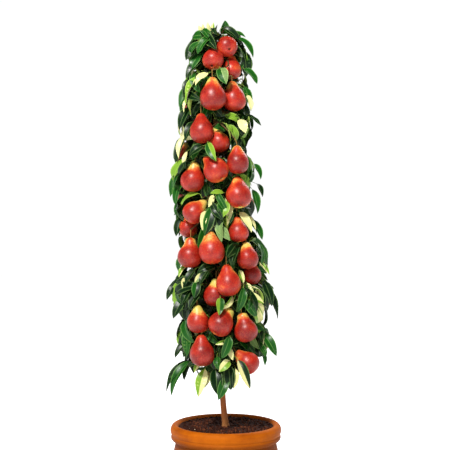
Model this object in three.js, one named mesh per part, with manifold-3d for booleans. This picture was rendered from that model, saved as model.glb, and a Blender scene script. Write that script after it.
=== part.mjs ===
// A columnar pear tree in a bellied terracotta pot, in millimetres.
// +Z is up, -Y is the side it is seen from and +X is on the right of that view.
// The origin is the middle of the pot's flat underside.
// Azimuths are in degrees: 0 faces the viewer and 90 is the viewer's right.
// The trunk carries tiers of short boughs, each bough a mass of leafy and fruiting twigs.

import * as THREE from "three";
import { mergeVertices } from "three/addons/utils/BufferGeometryUtils.js";
import Module from "manifold-3d";

const wasm = await Module();
wasm.setup();

// Clearance between two pieces that touch
const GAP = 0.3;

// Pot
const POT_HEIGHT = 300;
const POT_SIDES = 32;
const RIM_RADIUS = 175;
const POT_WALL = 13;
const POT_FLOOR = 16;
const DRAIN_RADIUS = 7;
const DRAIN_CIRCLE = 55;
const DRAIN_COUNT = 3;
// Outside of the pot from the foot to the lip, as radius and height
const POT_OUTSIDE = [
  [116, 0],
  [121, 8],
  [147, 72],
  [163, 138],
  [168, 190],
  [162, 228],
  [156, 246],
  [170, 252],
  [173.5, 260],
  [171, 268],
  [RIM_RADIUS, 282],
  [171, 295],
  [162, POT_HEIGHT],
];
const LIP_INSIDE = [
  [152, 295],
  [149, 285],
];
// Belly points of the outside that the inside repeats, one wall thickness in
const INSIDE_FROM = 5;
const INSIDE_TO = 1;

// Soil
const SOIL_TOP = 291;
const SOIL_BUMP = 2.2;
const SOIL_FLAT_RADIUS = 30;
const SOIL_RINGS = 4;

// Trunk
const TRUNK_TOP = 1470;
const TRUNK_FOOT_RADIUS = 10;
const TRUNK_TIP_RADIUS = 3.2;
const FLARE = 3;
const FLARE_HEIGHT = 9;
const LEAN = 22;
const LEAN_HEIGHT = 120;
const SWAY = 4;
const SWAY_HEIGHT = 170;
const TRUNK_SIDES = 8;
const TRUNK_STEPS = 16;

// Tiers of short fruiting boughs, three to a tier, each tier turned by half a sector
const TIERS = 8;
const FIRST_BOUGH = 440;
const TIER_HEIGHT = 127;
const SECTORS = 3;
const SECTOR_HALF = 60;
// How much higher each bough of a tier leaves the trunk than the one before
const BOUGH_STAGGER = 12;
const BOUGH_SHARE = 0.34;
const BOUGH_RISES = [30, 18, 42];
const BOUGH_SWINGS = [0, 12, -12, 24, -24, 36, -36];
const BOUGH_RADIUS = 4.6;
const BOUGH_TIP_RADIUS = 3.1;
const BOUGH_SIDES = 6;
const BOUGH_STEPS = 3;

// Spaces of the foliage: a tier's space lies between two cones that slope down outwards
const DROOP = 0.35;
const SPACE_BELOW_BOUGH = 25;
const LOWEST_LEAF = 372;
const HIGHEST_LEAF = 1576;
const SPACE_MARGIN = 1.5;
const KEEP_OFF = 1;
// Fused masses lose detail finer than the first of these that leaves them closed
const FINEST = [0.12, 0.16, 0.08, 0.05];
const WELD = 1e-3;
// How far the crown reaches from the trunk by height: to the left and to the right
const CROWN_OUTLINE = [
  [370, 60, 60],
  [410, 172, 90],
  [450, 172, 140],
  [530, 146, 174],
  [610, 142, 146],
  [690, 168, 188],
  [760, 150, 172],
  [840, 130, 158],
  [950, 144, 132],
  [1050, 160, 130],
  [1180, 140, 108],
  [1260, 130, 128],
  [1330, 134, 106],
  [1480, 114, 104],
  [1540, 90, 80],
  [1580, 30, 30],
];

// Stem and twigs of one mass
const STEM_SHARE = 0.56;
const STEM_RADIUS = 3;
const STEM_TIP_RADIUS = 2.4;
const STEM_STEPS = 2;
// A stem goes straight on from its bough for this far
const STEM_COLLAR = 6;
const STEM_SWINGS = [0, 10, -10, 20, -20, 30, -30];
const STEM_RISES = [12, 0, 24, -14, 38];
const TWIGS = 4;
const TOP_TWIGS = 6;
const TWIG_TRIES = 6;
const TWIG_RADIUS = 2;
const TWIG_TIP_RADIUS = 1.7;
const SPUR_STEPS = 3;
const TWIG_STEPS = 2;
const FREE_STEPS = 12;

// Leaves
const LEAVES_ON_TWIG = 4;
const LEAVES_ON_SPUR = 2;
const LEAF_TRIES = 20;
const LEAF_LENGTH = 110;
const LEAF_WIDTH = 0.46;
const LEAF_WIDEST = 0.55;
const LEAF_THICKNESS = 2;
const LEAF_ARCH = 0.07;
const LEAF_KEEL = 0.2;
const LEAF_SUNK = 0.4;

// Pears, whose shape is given in belly radii from the middle of the belly
const STALK_LENGTH = 24;
const STALK_RADIUS = 1.8;
// Ways a stalk may go on from its pear's neck: towards the trunk and to the side
const STALK_LEANS = [
  [0, 0],
  [0.6, 0],
  [0.6, 0.8],
  [0.6, -0.8],
  [1.5, 0],
  [1.5, 1],
  [1.5, -1],
  [4, 0],
];
const STALK_STRETCHES = [1, 0.75, 1.3, 1.7];
const SPUR_ROOTS = [0.95, 0.75, 0.5, 0.25];
const SPUR_LIFTS = [10, 26, -6, 45, -25];
const SPUR_TUCKS = [0, 20, 40];
const SPUR_SLEWS = [0, 25, -25, 50, -50, 80, -80];
const PEAR_SIDES = 8;
const PEAR_RINGS = [-0.6, 0.2, 1.2];
const PEAR_NECK = 0.4;
const PEAR_BOTTOM = -0.92;
const PEAR_SHOULDER = 1.35;
const PEAR_TOP = 1.62;

// Fruit on the side that is seen: across, depth towards the viewer, height and belly radius,
// then the way the neck points: right, away from the viewer and up
const FRONT_PEARS = [
  [4, 52, 1482, 32, -0.25, 0.86, 0.45],
  [-40, 62, 1440, 33, 0.14, 0.6, 0.78],
  [18, 28, 1412, 30, 0.0, 0.1, 1.0],
  [-39, 108, 1315, 40, -0.04, 0.1, 1.0],
  [25, 62, 1314, 37, -0.1, 0.1, 1.0],
  [-74, 88, 1213, 37, -0.05, 0.2, 0.96],
  [-20, 66, 1181, 32, -0.27, 0.1, 0.95],
  [-30, 118, 1093, 38, -0.5, 0.45, 0.74],
  [-103, 78, 1063, 37, 0.12, 0.05, 0.99],
  [36, 112, 1115, 34, -0.04, 0.0, 1.0],
  [40, 112, 1015, 39, -0.09, 0.3, 0.95],
  [-100, 84, 964, 34, 0.7, 0.15, 0.65],
  [-118, 34, 916, 30, 0.15, 0.0, 0.98],
  [-112, 78, 829, 37, 0.05, 0.1, 0.99],
  [-42, 118, 845, 40, -0.14, 0.1, 0.98],
  [39, 92, 903, 31, -0.1, 0.15, 0.97],
  [67, 94, 822, 33, -0.1, 0.15, 0.97],
  [80, 50, 768, 30, 0.0, 0.0, 1.0],
  [8, 122, 746, 38, -0.1, 0.1, 0.99],
  [-35, 80, 708, 34, 0.08, 0.05, 0.99],
  [-85, 96, 627, 34, -0.06, 0.0, 1.0],
  [-16, 122, 625, 38, 0.5, 0.45, 0.74],
  [61, 104, 602, 36, -0.22, 0.0, 0.97],
  [-72, 112, 531, 38, -0.06, 0.05, 0.99],
  [70, 96, 502, 34, -0.7, 0.15, 0.65],
];

// Fruit on the other sides, by rule
const BACK_PEARS = 18;
const BACK_FROM = 92;
const BACK_SWEEP = 176;
const BACK_LOWEST = 520;
const BACK_HIGHEST = 1430;
const PEAR_CLEARANCE = 5;
const GOLDEN = 0.618034;

const RADIANS = Math.PI / 180;
const UP = new THREE.Vector3(0, 0, 1);

// Colours of the materials
const TERRACOTTA = new THREE.MeshStandardMaterial({ color: 0xc8641e, roughness: 0.8, metalness: 0 });
const EARTH = new THREE.MeshStandardMaterial({ color: 0x40241a, roughness: 1, metalness: 0 });
const BARK = new THREE.MeshStandardMaterial({ color: 0x7c4c2a, roughness: 0.85, metalness: 0 });
const LEAF = new THREE.MeshStandardMaterial({ color: 0x2c5c22, roughness: 0.5, metalness: 0 });

// Repeatable random numbers from 0 to 1
function random(seed) {
  let state = (seed * 7919 + 12345) % 4294967296;
  const next = () => {
    state = (state * 1664525 + 1013904223) % 4294967296;
    return state / 4294967296;
  };
  for (let i = 0; i < 3; i++) next();
  return next;
}

const mix = (a, b, t) => a + (b - a) * t;

// Unit vector across the ground at an azimuth
function heading(azimuth) {
  return new THREE.Vector3(Math.sin(azimuth * RADIANS), -Math.cos(azimuth * RADIANS), 0);
}

// Straight lines through rows that start with their position
function interpolate(table, at, column) {
  const next = table.findIndex(([position]) => position > at);
  if (next === 0) return table[0][column];
  if (next < 0) return table[table.length - 1][column];
  const [low, high] = [table[next - 1], table[next]];
  return mix(low[column], high[column], (at - low[0]) / (high[0] - low[0]));
}

function trunkAxis(z) {
  const rise = Math.max(z - SOIL_TOP, 0);
  const lean = -LEAN * (1 - Math.exp(-rise / LEAN_HEIGHT));
  return new THREE.Vector3(
    lean + SWAY * Math.sin(rise / SWAY_HEIGHT),
    SWAY * (Math.sin(rise / SWAY_HEIGHT / 1.3 + 1) - Math.sin(1)),
    z,
  );
}

function trunkRadius(z) {
  const rise = z - SOIL_TOP;
  const share = Math.min(rise / (TRUNK_TOP - SOIL_TOP), 1);
  return mix(TRUNK_FOOT_RADIUS, TRUNK_TIP_RADIUS, share) + FLARE * Math.exp(-rise / FLARE_HEIGHT);
}

// Distance and azimuth of a point about the trunk, and its height between the sloping cones
function aboutTrunk(point) {
  const axis = trunkAxis(point.z);
  const [dx, dy] = [point.x - axis.x, point.y - axis.y];
  const reach = Math.hypot(dx, dy);
  return { reach, azimuth: Math.atan2(dx, -dy) / RADIANS, level: point.z + DROOP * reach };
}

function pointAbout(azimuth, reach, level) {
  const z = level - DROOP * reach;
  return trunkAxis(z).addScaledVector(heading(azimuth), reach);
}

// Angle from one azimuth to another, from -180 to 180
function turn(from, to) {
  return ((((to - from) % 360) + 540) % 360) - 180;
}

// Rings of points closed into a tube with flat ends
function tube(positions, sides, steps) {
  const faces = [];
  for (let i = 0; i < steps; i++) {
    for (let j = 0; j < sides; j++) {
      const [a, b] = [i * sides + j, i * sides + ((j + 1) % sides)];
      faces.push(a, b, b + sides, a, b + sides, a + sides);
    }
  }
  const last = steps * sides;
  for (let j = 1; j < sides - 1; j++) {
    faces.push(0, j + 1, j, last, last + j, last + j + 1);
  }
  return meshOf(positions, faces);
}

// A limb along a line of points that tapers evenly from one radius to the other
function limb(points, radius, tipRadius, sides) {
  const last = points.length - 1;
  const positions = [];
  const side = new THREE.Vector3(0.6, 0.48, 0.64);
  points.forEach((centre, i) => {
    const way = points[Math.min(i + 1, last)].clone().sub(points[Math.max(i - 1, 0)]).normalize();
    side.addScaledVector(way, -side.dot(way)).normalize();
    const other = way.clone().cross(side);
    for (let j = 0; j < sides; j++) {
      const angle = (2 * Math.PI * j) / sides;
      const spoke = side.clone().multiplyScalar(Math.cos(angle)).addScaledVector(other, Math.sin(angle));
      positions.push(...centre.clone().addScaledVector(spoke, mix(radius, tipRadius, i / last)));
    }
  });
  return solidOf(tube(positions, sides, last));
}

// A bend from one point to another, as a line of points
function bend(from, knee, to, steps) {
  return new THREE.QuadraticBezierCurve3(from, knee, to).getPoints(steps);
}

function pointOn(points, share) {
  const at = share * (points.length - 1);
  const i = Math.min(Math.floor(at), points.length - 2);
  return points[i].clone().lerp(points[i + 1], at - i);
}

function meshOf(positions, faces) {
  const geometry = new THREE.BufferGeometry();
  geometry.setAttribute("position", new THREE.Float32BufferAttribute(positions, 3));
  geometry.setIndex(faces);
  return geometry;
}

function solidOf(geometry) {
  const bare = geometry.clone();
  for (const name of Object.keys(bare.attributes)) {
    if (name !== "position") bare.deleteAttribute(name);
  }
  const merged = mergeVertices(bare, WELD);
  return new wasm.Manifold(
    new wasm.Mesh({
      numProp: 3,
      vertProperties: merged.attributes.position.array,
      triVerts: new Uint32Array(merged.index.array),
    }),
  );
}

function geometryOf(solid) {
  const mesh = solid.getMesh();
  return meshOf(mesh.vertProperties, [...mesh.triVerts]);
}

// Whether every edge joins two faces once vertices that all but touch are one
function isClosed(geometry) {
  const { array } = mergeVertices(geometry, WELD).index;
  const uses = new Map();
  for (let i = 0; i < array.length; i += 3) {
    for (const [a, b] of [[0, 1], [1, 2], [2, 0]]) {
      const edge = `${array[i + a]} ${array[i + b]}`;
      uses.set(edge, (uses.get(edge) ?? 0) + 1);
    }
  }
  const turnedRound = (edge) => edge.split(" ").reverse().join(" ");
  return [...uses].every(([edge, count]) => count === 1 && uses.get(turnedRound(edge)) === 1);
}

// The largest closed body of a solid, with any sealed hollow filled and loose scraps dropped
function mainBody(solid) {
  const bodies = solid.decompose();
  return bodies.reduce((best, body) => (body.volume() > best.volume() ? body : best));
}

// Pot and soil
function turned(profile, sides) {
  const points = profile.map(([radius, height]) => new THREE.Vector2(radius, height));
  return new THREE.LatheGeometry(points, sides).rotateX(Math.PI / 2);
}

function potInside(inset) {
  const belly = POT_OUTSIDE.slice(INSIDE_TO, INSIDE_FROM + 1).reverse();
  const walls = belly.map(([radius, height]) => [radius - POT_WALL, Math.max(height, POT_FLOOR)]);
  return [...LIP_INSIDE, ...walls].map(([radius, height]) => [radius - inset, height]);
}

function makePot() {
  const profile = [[0, 0], ...POT_OUTSIDE, ...potInside(0), [0, POT_FLOOR]];
  let pot = solidOf(turned(profile, POT_SIDES));
  for (let i = 0; i < DRAIN_COUNT; i++) {
    const hole = new THREE.CylinderGeometry(DRAIN_RADIUS, DRAIN_RADIUS, POT_FLOOR * 4, 12);
    hole.rotateX(Math.PI / 2);
    hole.translate(...heading((360 / DRAIN_COUNT) * i).multiplyScalar(DRAIN_CIRCLE));
    pot = pot.subtract(solidOf(hole));
  }
  return geometryOf(pot);
}

function makeSoil() {
  const inside = potInside(GAP);
  const walls = inside.slice(1).reverse();
  walls[0][1] = POT_FLOOR + GAP;
  const [lip, throat] = inside;
  const edge = mix(throat[0], lip[0], (SOIL_TOP - throat[1]) / (lip[1] - throat[1]));
  const rings = [];
  for (let i = 0; i < SOIL_RINGS; i++) {
    rings.push([mix(edge, SOIL_FLAT_RADIUS, i / (SOIL_RINGS - 1)), SOIL_TOP]);
  }
  const geometry = turned([[0, POT_FLOOR + GAP], ...walls, ...rings, [0, SOIL_TOP]], POT_SIDES);
  const place = geometry.attributes.position;
  for (let i = 0; i < place.count; i++) {
    const [x, y, z] = [place.getX(i), place.getY(i), place.getZ(i)];
    const reach = Math.hypot(x, y);
    if (z < SOIL_TOP - 0.01 || reach < SOIL_FLAT_RADIUS + 1 || reach > edge - 1) continue;
    place.setZ(i, z + SOIL_BUMP * Math.sin(x / 17) * Math.cos(y / 23));
  }
  return geometry;
}

// Trunk and boughs
function trunkSolid(extra) {
  const positions = [];
  for (let i = 0; i <= TRUNK_STEPS; i++) {
    // The steps are closer together at the flare
    const centre = trunkAxis(mix(SOIL_TOP + GAP, TRUNK_TOP, (i / TRUNK_STEPS) ** 1.6));
    for (let j = 0; j < TRUNK_SIDES; j++) {
      const side = heading((360 / TRUNK_SIDES) * j);
      positions.push(...side.multiplyScalar(trunkRadius(centre.z) + extra).add(centre));
    }
  }
  return solidOf(tube(positions, TRUNK_SIDES, TRUNK_STEPS));
}

// How far the crown reaches at a height and azimuth
function crownReach(z, azimuth) {
  const left = interpolate(CROWN_OUTLINE, z, 1);
  const right = interpolate(CROWN_OUTLINE, z, 2);
  return mix(left, right, 0.5 + 0.5 * Math.sin(azimuth * RADIANS));
}

// The course of a bough from inside the trunk to its tip
function boughCourse(space, swing, rise) {
  const root = trunkAxis(space.boughHeight);
  const out = heading(space.azimuth + swing);
  const reach = BOUGH_SHARE * crownReach(space.boughHeight, space.azimuth);
  const knee = root.clone().addScaledVector(out, reach * 0.5).addScaledVector(UP, rise * 0.15);
  const tip = root.clone().addScaledVector(out, reach).addScaledVector(UP, rise);
  return bend(root, knee, tip, BOUGH_STEPS);
}

function boughSolid(bough, extra) {
  return limb(bough, BOUGH_RADIUS + extra, BOUGH_TIP_RADIUS + extra, BOUGH_SIDES);
}

// The spaces that the masses of foliage keep to, with the top one last
function makeSpaces() {
  const sides = [
    ["front", "right", "left"],
    ["right", "back", "left"],
  ];
  const spaces = [];
  for (let tier = 0; tier < TIERS; tier++) {
    for (let sector = 0; sector < SECTORS; sector++) {
      const tierHeight = FIRST_BOUGH + TIER_HEIGHT * tier;
      const low = tierHeight - SPACE_BELOW_BOUGH;
      spaces.push({
        name: `${tier + 1}_${sides[tier % 2][sector]}`,
        seed: tier * SECTORS + sector + 1,
        azimuth: sector * 2 * SECTOR_HALF + (tier % 2) * SECTOR_HALF,
        boughHeight: tierHeight + BOUGH_STAGGER * sector,
        low,
        high: low + TIER_HEIGHT,
        isLowest: tier === 0,
      });
    }
  }
  const top = spaces[spaces.length - 1].high;
  spaces.push({ name: "top", seed: 99, azimuth: 0, low: top, high: HIGHEST_LEAF + 100, isTop: true });
  return spaces;
}

// How far inside its space a point is; negative outside
function depthInSpace(point, space) {
  const { reach, azimuth, level } = aboutTrunk(point);
  const slope = Math.hypot(1, DROOP);
  let depth = Math.min((space.high - level) / slope, crownReach(point.z, azimuth) - reach);
  depth = Math.min(depth, point.z - LOWEST_LEAF, HIGHEST_LEAF - point.z);
  if (!space.isLowest) depth = Math.min(depth, (level - space.low) / slope);
  if (!space.isTop) {
    const spare = SECTOR_HALF - Math.abs(turn(space.azimuth, azimuth));
    depth = Math.min(depth, reach * Math.sin(THREE.MathUtils.clamp(spare, -90, 90) * RADIANS));
  }
  return depth;
}

// Fruit
function pearRadius(t) {
  if (t <= PEAR_BOTTOM || t >= PEAR_TOP) return 0;
  if (t < 0) return (1 - (t / PEAR_BOTTOM) ** 2.2) ** (1 / 2.2);
  const waist = 0.5 + 0.5 * Math.cos((Math.PI * Math.min(t, PEAR_SHOULDER)) / PEAR_SHOULDER);
  const radius = PEAR_NECK + (1 - PEAR_NECK) * waist ** 0.75;
  const cap = Math.max(t - PEAR_SHOULDER, 0) / (PEAR_TOP - PEAR_SHOULDER);
  return radius * Math.sqrt(1 - cap * cap);
}

function makePear(centre, radius, neck) {
  return { centre, radius, neck, top: centre.clone().addScaledVector(neck, radius * PEAR_TOP) };
}

// How far a point is outside a pear, roughly; negative inside
function outsidePear(point, pear) {
  const offset = point.clone().sub(pear.centre).divideScalar(pear.radius);
  const along = offset.dot(pear.neck);
  const across = offset.addScaledVector(pear.neck, -along).length();
  const t = THREE.MathUtils.clamp(along, PEAR_BOTTOM, PEAR_TOP);
  return pear.radius * Math.max(Math.abs(along - t), across - pearRadius(along));
}

function outsideFruit(point, pear) {
  const stalk = new THREE.Line3(pear.top, pear.stalkTop);
  const near = stalk.closestPointToPoint(point, true, new THREE.Vector3());
  return Math.min(outsidePear(point, pear), near.distanceTo(point) - STALK_RADIUS);
}

// Points down the middle of a pear with the radius there
function pearCore(pear) {
  return [-0.3, 0, 0.45, 0.9, 1.3].map((t) => ({
    at: pear.centre.clone().addScaledVector(pear.neck, t * pear.radius),
    radius: pearRadius(t) * pear.radius,
  }));
}

function areApart(pear, other) {
  return pearCore(pear).every((a) =>
    pearCore(other).every((b) => a.at.distanceTo(b.at) > a.radius + b.radius + PEAR_CLEARANCE),
  );
}

function placePears() {
  const pears = FRONT_PEARS.map(([x, depth, z, radius, nx, ny, nz]) =>
    makePear(new THREE.Vector3(x, -depth, z), radius, new THREE.Vector3(nx, ny, nz).normalize()),
  );
  const draw = random(41);
  for (let i = 1; pears.length < FRONT_PEARS.length + BACK_PEARS; i++) {
    const azimuth = BACK_FROM + BACK_SWEEP * ((i * GOLDEN) % 1);
    const z = mix(BACK_LOWEST, BACK_HIGHEST, draw());
    const radius = mix(32, 39, draw());
    const reach = crownReach(z, azimuth) - radius - mix(2, 16, draw());
    const centre = trunkAxis(z).addScaledVector(heading(azimuth), reach);
    const neck = heading(azimuth).multiplyScalar(mix(-0.35, 0.1, draw())).add(UP).normalize();
    const pear = makePear(centre, radius, neck);
    if (pears.every((other) => areApart(pear, other))) pears.push(pear);
  }
  return pears;
}

// Gives a pear its stalk: the first direction and length that end inside a mass's space, or null
function hangPear(pear, spaces, pears) {
  const inwards = trunkAxis(pear.top.z).sub(pear.top).setZ(0).normalize();
  const sideways = inwards.clone().cross(UP);
  const others = pears.filter((other) => other !== pear);
  for (const [lean, slew] of STALK_LEANS) {
    const way = pear.neck.clone().add(UP).normalize();
    way.addScaledVector(inwards, lean).addScaledVector(sideways, slew).normalize();
    for (const stretch of STALK_STRETCHES) {
      const stalkTop = pear.top.clone().addScaledVector(way, STALK_LENGTH * stretch);
      const space = spaces.find((each) => depthInSpace(stalkTop, each) > SPACE_MARGIN + 2 * STALK_RADIUS);
      if (!space) continue;
      const points = [0.4, 0.7, 1].map((share) => pear.top.clone().lerp(stalkTop, share));
      const isClear = points.every((point) =>
        others.every((other) => outsidePear(point, other) > STALK_RADIUS + SPACE_MARGIN),
      );
      if (isClear) return { ...pear, stalkTop, space };
    }
  }
  return null;
}

function pearSolid(pear, extra) {
  const radius = pear.radius + extra;
  const profile = [PEAR_BOTTOM, ...PEAR_RINGS, PEAR_TOP].map((t) => [pearRadius(t) * radius, t * radius]);
  const geometry = turned(profile, PEAR_SIDES);
  geometry.applyQuaternion(new THREE.Quaternion().setFromUnitVectors(UP, pear.neck));
  geometry.translate(...pear.centre);
  return solidOf(geometry);
}

// The twig that carries a pear, from its root in the stem on through the stalk into the pear
function spurSolid(pear, extra) {
  const sunk = pear.top.clone().addScaledVector(pear.neck, -pear.radius * 0.25);
  const stalk = [pear.top, sunk];
  return limb([...pear.spur, ...stalk], STALK_RADIUS + extra, STALK_RADIUS + extra, 3);
}

// Whether a line of points keeps to a space and misses the fruit
function isFree(course, radius, space, pears, outside) {
  for (let i = 1; i <= FREE_STEPS; i++) {
    const point = pointOn(course, i / FREE_STEPS);
    if (space && depthInSpace(point, space) < SPACE_MARGIN + radius) return false;
    if (pears.some((pear) => outside(point, pear) < radius + SPACE_MARGIN)) return false;
  }
  return true;
}

// The course of a mass's stem on from a bough or the trunk
function stemCourse(space, start, way, swing, rise) {
  const azimuth = space.azimuth + swing;
  const reach = STEM_SHARE * crownReach(start.z, azimuth);
  const end = space.isTop
    ? start.clone().addScaledVector(heading(swing * 9), 6).addScaledVector(UP, 30 + rise)
    : pointAbout(azimuth, reach, start.z + DROOP * reach + rise);
  const collar = start.clone().addScaledVector(way, STEM_COLLAR);
  const knee = start.clone().addScaledVector(way, start.distanceTo(end) * 0.4);
  return [start, ...bend(collar, knee, end, STEM_STEPS)];
}

// Finds the first of a few courses for a stem, and for the bough below it, that misses the fruit
function planLimbs(space, pears) {
  const boughs = space.isTop
    ? [[trunkAxis(TRUNK_TOP - 1), trunkAxis(TRUNK_TOP)]]
    : BOUGH_SWINGS.flatMap((swing) => BOUGH_RISES.map((rise) => boughCourse(space, swing, rise)));
  for (const bough of boughs) {
    if (!space.isTop && !isFree(bough, BOUGH_RADIUS, null, pears, outsideFruit)) continue;
    const [before, tip] = bough.slice(-2);
    const way = tip.clone().sub(before).normalize();
    const start = tip.clone().addScaledVector(way, GAP);
    for (const swing of STEM_SWINGS) {
      for (const rise of STEM_RISES) {
        const stem = stemCourse(space, start, way, swing, rise);
        if (isFree(stem, STEM_RADIUS, space, pears, outsideFruit)) return { bough, stem };
      }
    }
  }
  throw new Error(`no free course for the limbs of ${space.name}`);
}

// A twig from the stem to the top of a pear's stalk, or null where nothing fits
function spurCourse(space, pear, pears) {
  const inwards = trunkAxis(pear.stalkTop.z).sub(pear.stalkTop).setZ(0).normalize();
  const sideways = inwards.clone().cross(UP);
  for (const share of SPUR_ROOTS) {
    for (const lift of SPUR_LIFTS) {
      for (const tuck of SPUR_TUCKS) {
        for (const slew of SPUR_SLEWS) {
          const root = pointOn(space.stem, share);
          const knee = root.clone().lerp(pear.stalkTop, 0.6).addScaledVector(UP, lift);
          knee.addScaledVector(inwards, tuck).addScaledVector(sideways, slew);
          const spur = bend(root, knee, pear.stalkTop, SPUR_STEPS);
          if (isFree(spur, STALK_RADIUS, space, pears, outsidePear)) return spur;
        }
      }
    }
  }
  return null;
}

// A leafy twig from the stem towards one part of the space
function twigCourse(space, index, draw) {
  const root = pointOn(space.stem, mix(0.3, 0.95, draw()));
  const isHigh = index % 2 === 1;
  const spread = (index + mix(0.1, 0.9, draw())) / (space.isTop ? TOP_TWIGS : TWIGS);
  let target;
  if (space.isTop) {
    const [low, high, share] = isHigh ? [20, HIGHEST_LEAF - TRUNK_TOP - 40, 0.35] : [-10, 20, 0.7];
    const z = TRUNK_TOP + mix(low, high, draw());
    const azimuth = 360 * spread;
    target = trunkAxis(z).addScaledVector(heading(azimuth), crownReach(z, azimuth) * share);
  } else {
    const azimuth = space.azimuth + SECTOR_HALF * (2 * spread - 1) * 0.9;
    const fill = isHigh ? mix(0.7, 0.95, draw()) : mix(0.4, 0.7, draw());
    const level = space.high - TIER_HEIGHT * (1 - fill);
    target = pointAbout(azimuth, crownReach(level, azimuth) * mix(0.6, 0.85, draw()), level);
  }
  const knee = root.clone().lerp(target, 0.5).addScaledVector(UP, root.distanceTo(target) * 0.18);
  return bend(root, knee, target, TWIG_STEPS);
}

// A leaf: a thin arched blade of eight faces, pointed at its foot and tip and thickest along its keel
function makeLeaf(base, axis, facing, length) {
  const across = axis.clone().cross(facing).normalize();
  const face = across.clone().cross(axis).normalize();
  const at = (along, side, lift) => {
    const point = base.clone().addScaledVector(axis, along);
    return point.addScaledVector(across, side).addScaledVector(face, lift);
  };
  const half = (length * LEAF_WIDTH) / 2;
  const arch = length * LEAF_ARCH;
  return {
    foot: at(-LEAF_SUNK, 0, 0),
    left: at(length * LEAF_WIDEST, -half, arch),
    right: at(length * LEAF_WIDEST, half, arch),
    above: at(length * LEAF_KEEL, 0, arch + LEAF_THICKNESS / 2),
    below: at(length * LEAF_KEEL, 0, arch - LEAF_THICKNESS / 2),
    tip: at(length, 0, 0),
  };
}

function leafSolid({ foot, left, right, above, below, tip }) {
  const positions = [foot, left, right, above, below, tip].flatMap((point) => [...point]);
  const faces = [0, 2, 3, 0, 3, 1, 0, 4, 2, 0, 1, 4, 5, 3, 2, 5, 1, 3, 5, 2, 4, 5, 4, 1];
  return solidOf(meshOf(positions, faces));
}

// Points over a leaf, for telling whether it keeps to its space
function leafSamples({ foot, left, right, above, tip }) {
  const edges = [
    [foot, left],
    [foot, right],
    [foot, above],
    [tip, left],
    [tip, right],
    [tip, above],
    [left, above],
    [right, above],
  ];
  return edges.flatMap(([from, to]) => [0.3, 0.65, 1].map((share) => from.clone().lerp(to, share)));
}

// The first of a few seeded leaves at a point that keeps to its space and touches only its twig
function growLeaf(base, space, index, draw, wood, leaves, taken) {
  const { reach, azimuth } = aboutTrunk(base);
  for (let attempt = 0; attempt < LEAF_TRIES; attempt++) {
    const side = (index + attempt) % 2 ? 1 : -1;
    const spin = side * mix(5, 65, draw());
    const dip = space.isTop ? mix(-75, 40, draw()) : mix(0, 80, draw()) * Math.min(reach / 80, 1);
    const length = LEAF_LENGTH * mix(0.85, 1.05, draw()) * (1 - 0.02 * attempt);
    const axis = heading(azimuth + spin).multiplyScalar(Math.cos(dip * RADIANS));
    axis.addScaledVector(UP, -Math.sin(dip * RADIANS));
    const facing = heading(azimuth).multiplyScalar(0.55).addScaledVector(UP, 0.85);
    const shape = makeLeaf(base, axis, facing, length);
    if (!leafSamples(shape).every((point) => depthInSpace(point, space) > SPACE_MARGIN)) continue;
    const leaf = leafSolid(shape);
    if (leaf.intersect(taken).isEmpty() && leaves.every((other) => leaf.intersect(other).isEmpty())) {
      if (leaf.intersect(wood).decompose().length === 1) return leaf;
    }
  }
  return null;
}

function growMass(space, pears, taken) {
  const draw = random(space.seed);
  const own = pears.filter((pear) => pear.space === space);
  const stem = limb(space.stem, STEM_RADIUS, STEM_TIP_RADIUS, 4);
  let wood = wasm.Manifold.union([stem, ...own.map((pear) => spurSolid(pear, 0))]);
  const twigs = [];
  for (let i = 0; i < (space.isTop ? TOP_TWIGS : TWIGS); i++) {
    for (let attempt = 0; attempt < TWIG_TRIES; attempt++) {
      const twig = twigCourse(space, i, draw);
      if (!isFree(twig, TWIG_TIP_RADIUS, space, [], outsidePear)) continue;
      const solid = limb(twig, TWIG_RADIUS, TWIG_TIP_RADIUS, 3);
      if (!solid.intersect(taken).isEmpty()) continue;
      if (solid.intersect(wood).decompose().length !== 1) continue;
      wood = wood.add(solid);
      twigs.push(twig);
      break;
    }
  }
  const leaves = [];
  if (space.isTop) {
    const end = pointOn(space.stem, 1);
    leaves.push(leafSolid(makeLeaf(end, UP, heading(0), HIGHEST_LEAF - SPACE_MARGIN - end.z)));
  }
  const addLeaf = (base, index) => {
    const leaf = growLeaf(base, space, index, draw, wood, leaves, taken);
    if (leaf) leaves.push(leaf);
  };
  for (const twig of twigs) {
    for (let i = 0; i < LEAVES_ON_TWIG; i++) {
      addLeaf(pointOn(twig, mix(0.99, 0.45, i / LEAVES_ON_TWIG)), i);
    }
  }
  for (const { spur } of own) {
    for (let i = 0; i < LEAVES_ON_SPUR; i++) {
      addLeaf(pointOn(spur, mix(0.9, 0.5, i / LEAVES_ON_SPUR)), i);
    }
  }
  const mass = wasm.Manifold.union([wood, ...own.map((pear) => pearSolid(pear, 0)), ...leaves]);
  const bodies = FINEST.map((finest) => mainBody(mass.asOriginal().simplify(finest)));
  return bodies.find((body) => isClosed(geometryOf(body))) ?? bodies[0];
}

// Assembly
const tree = new THREE.Group();

function addPart(name, geometry, material) {
  const mesh = new THREE.Mesh(geometry, material);
  mesh.name = name;
  tree.add(mesh);
}

addPart("pot", makePot(), TERRACOTTA);
addPart("soil", makeSoil(), EARTH);
addPart("trunk", geometryOf(trunkSolid(0)), BARK);

const spaces = makeSpaces();
const shapes = placePears();
const hung = shapes.map((pear) => hangPear(pear, spaces, shapes)).filter((pear) => pear);
for (const space of spaces) Object.assign(space, planLimbs(space, hung));
for (const pear of hung) pear.spur = spurCourse(pear.space, pear, hung);
const pears = hung.filter((pear) => pear.spur);

const boughSpaces = spaces.filter((space) => !space.isTop);
const thickTrunk = trunkSolid(GAP);
for (const { name, bough } of boughSpaces) {
  addPart(`bough_${name}`, geometryOf(mainBody(boughSolid(bough, 0).subtract(thickTrunk))), BARK);
}

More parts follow.
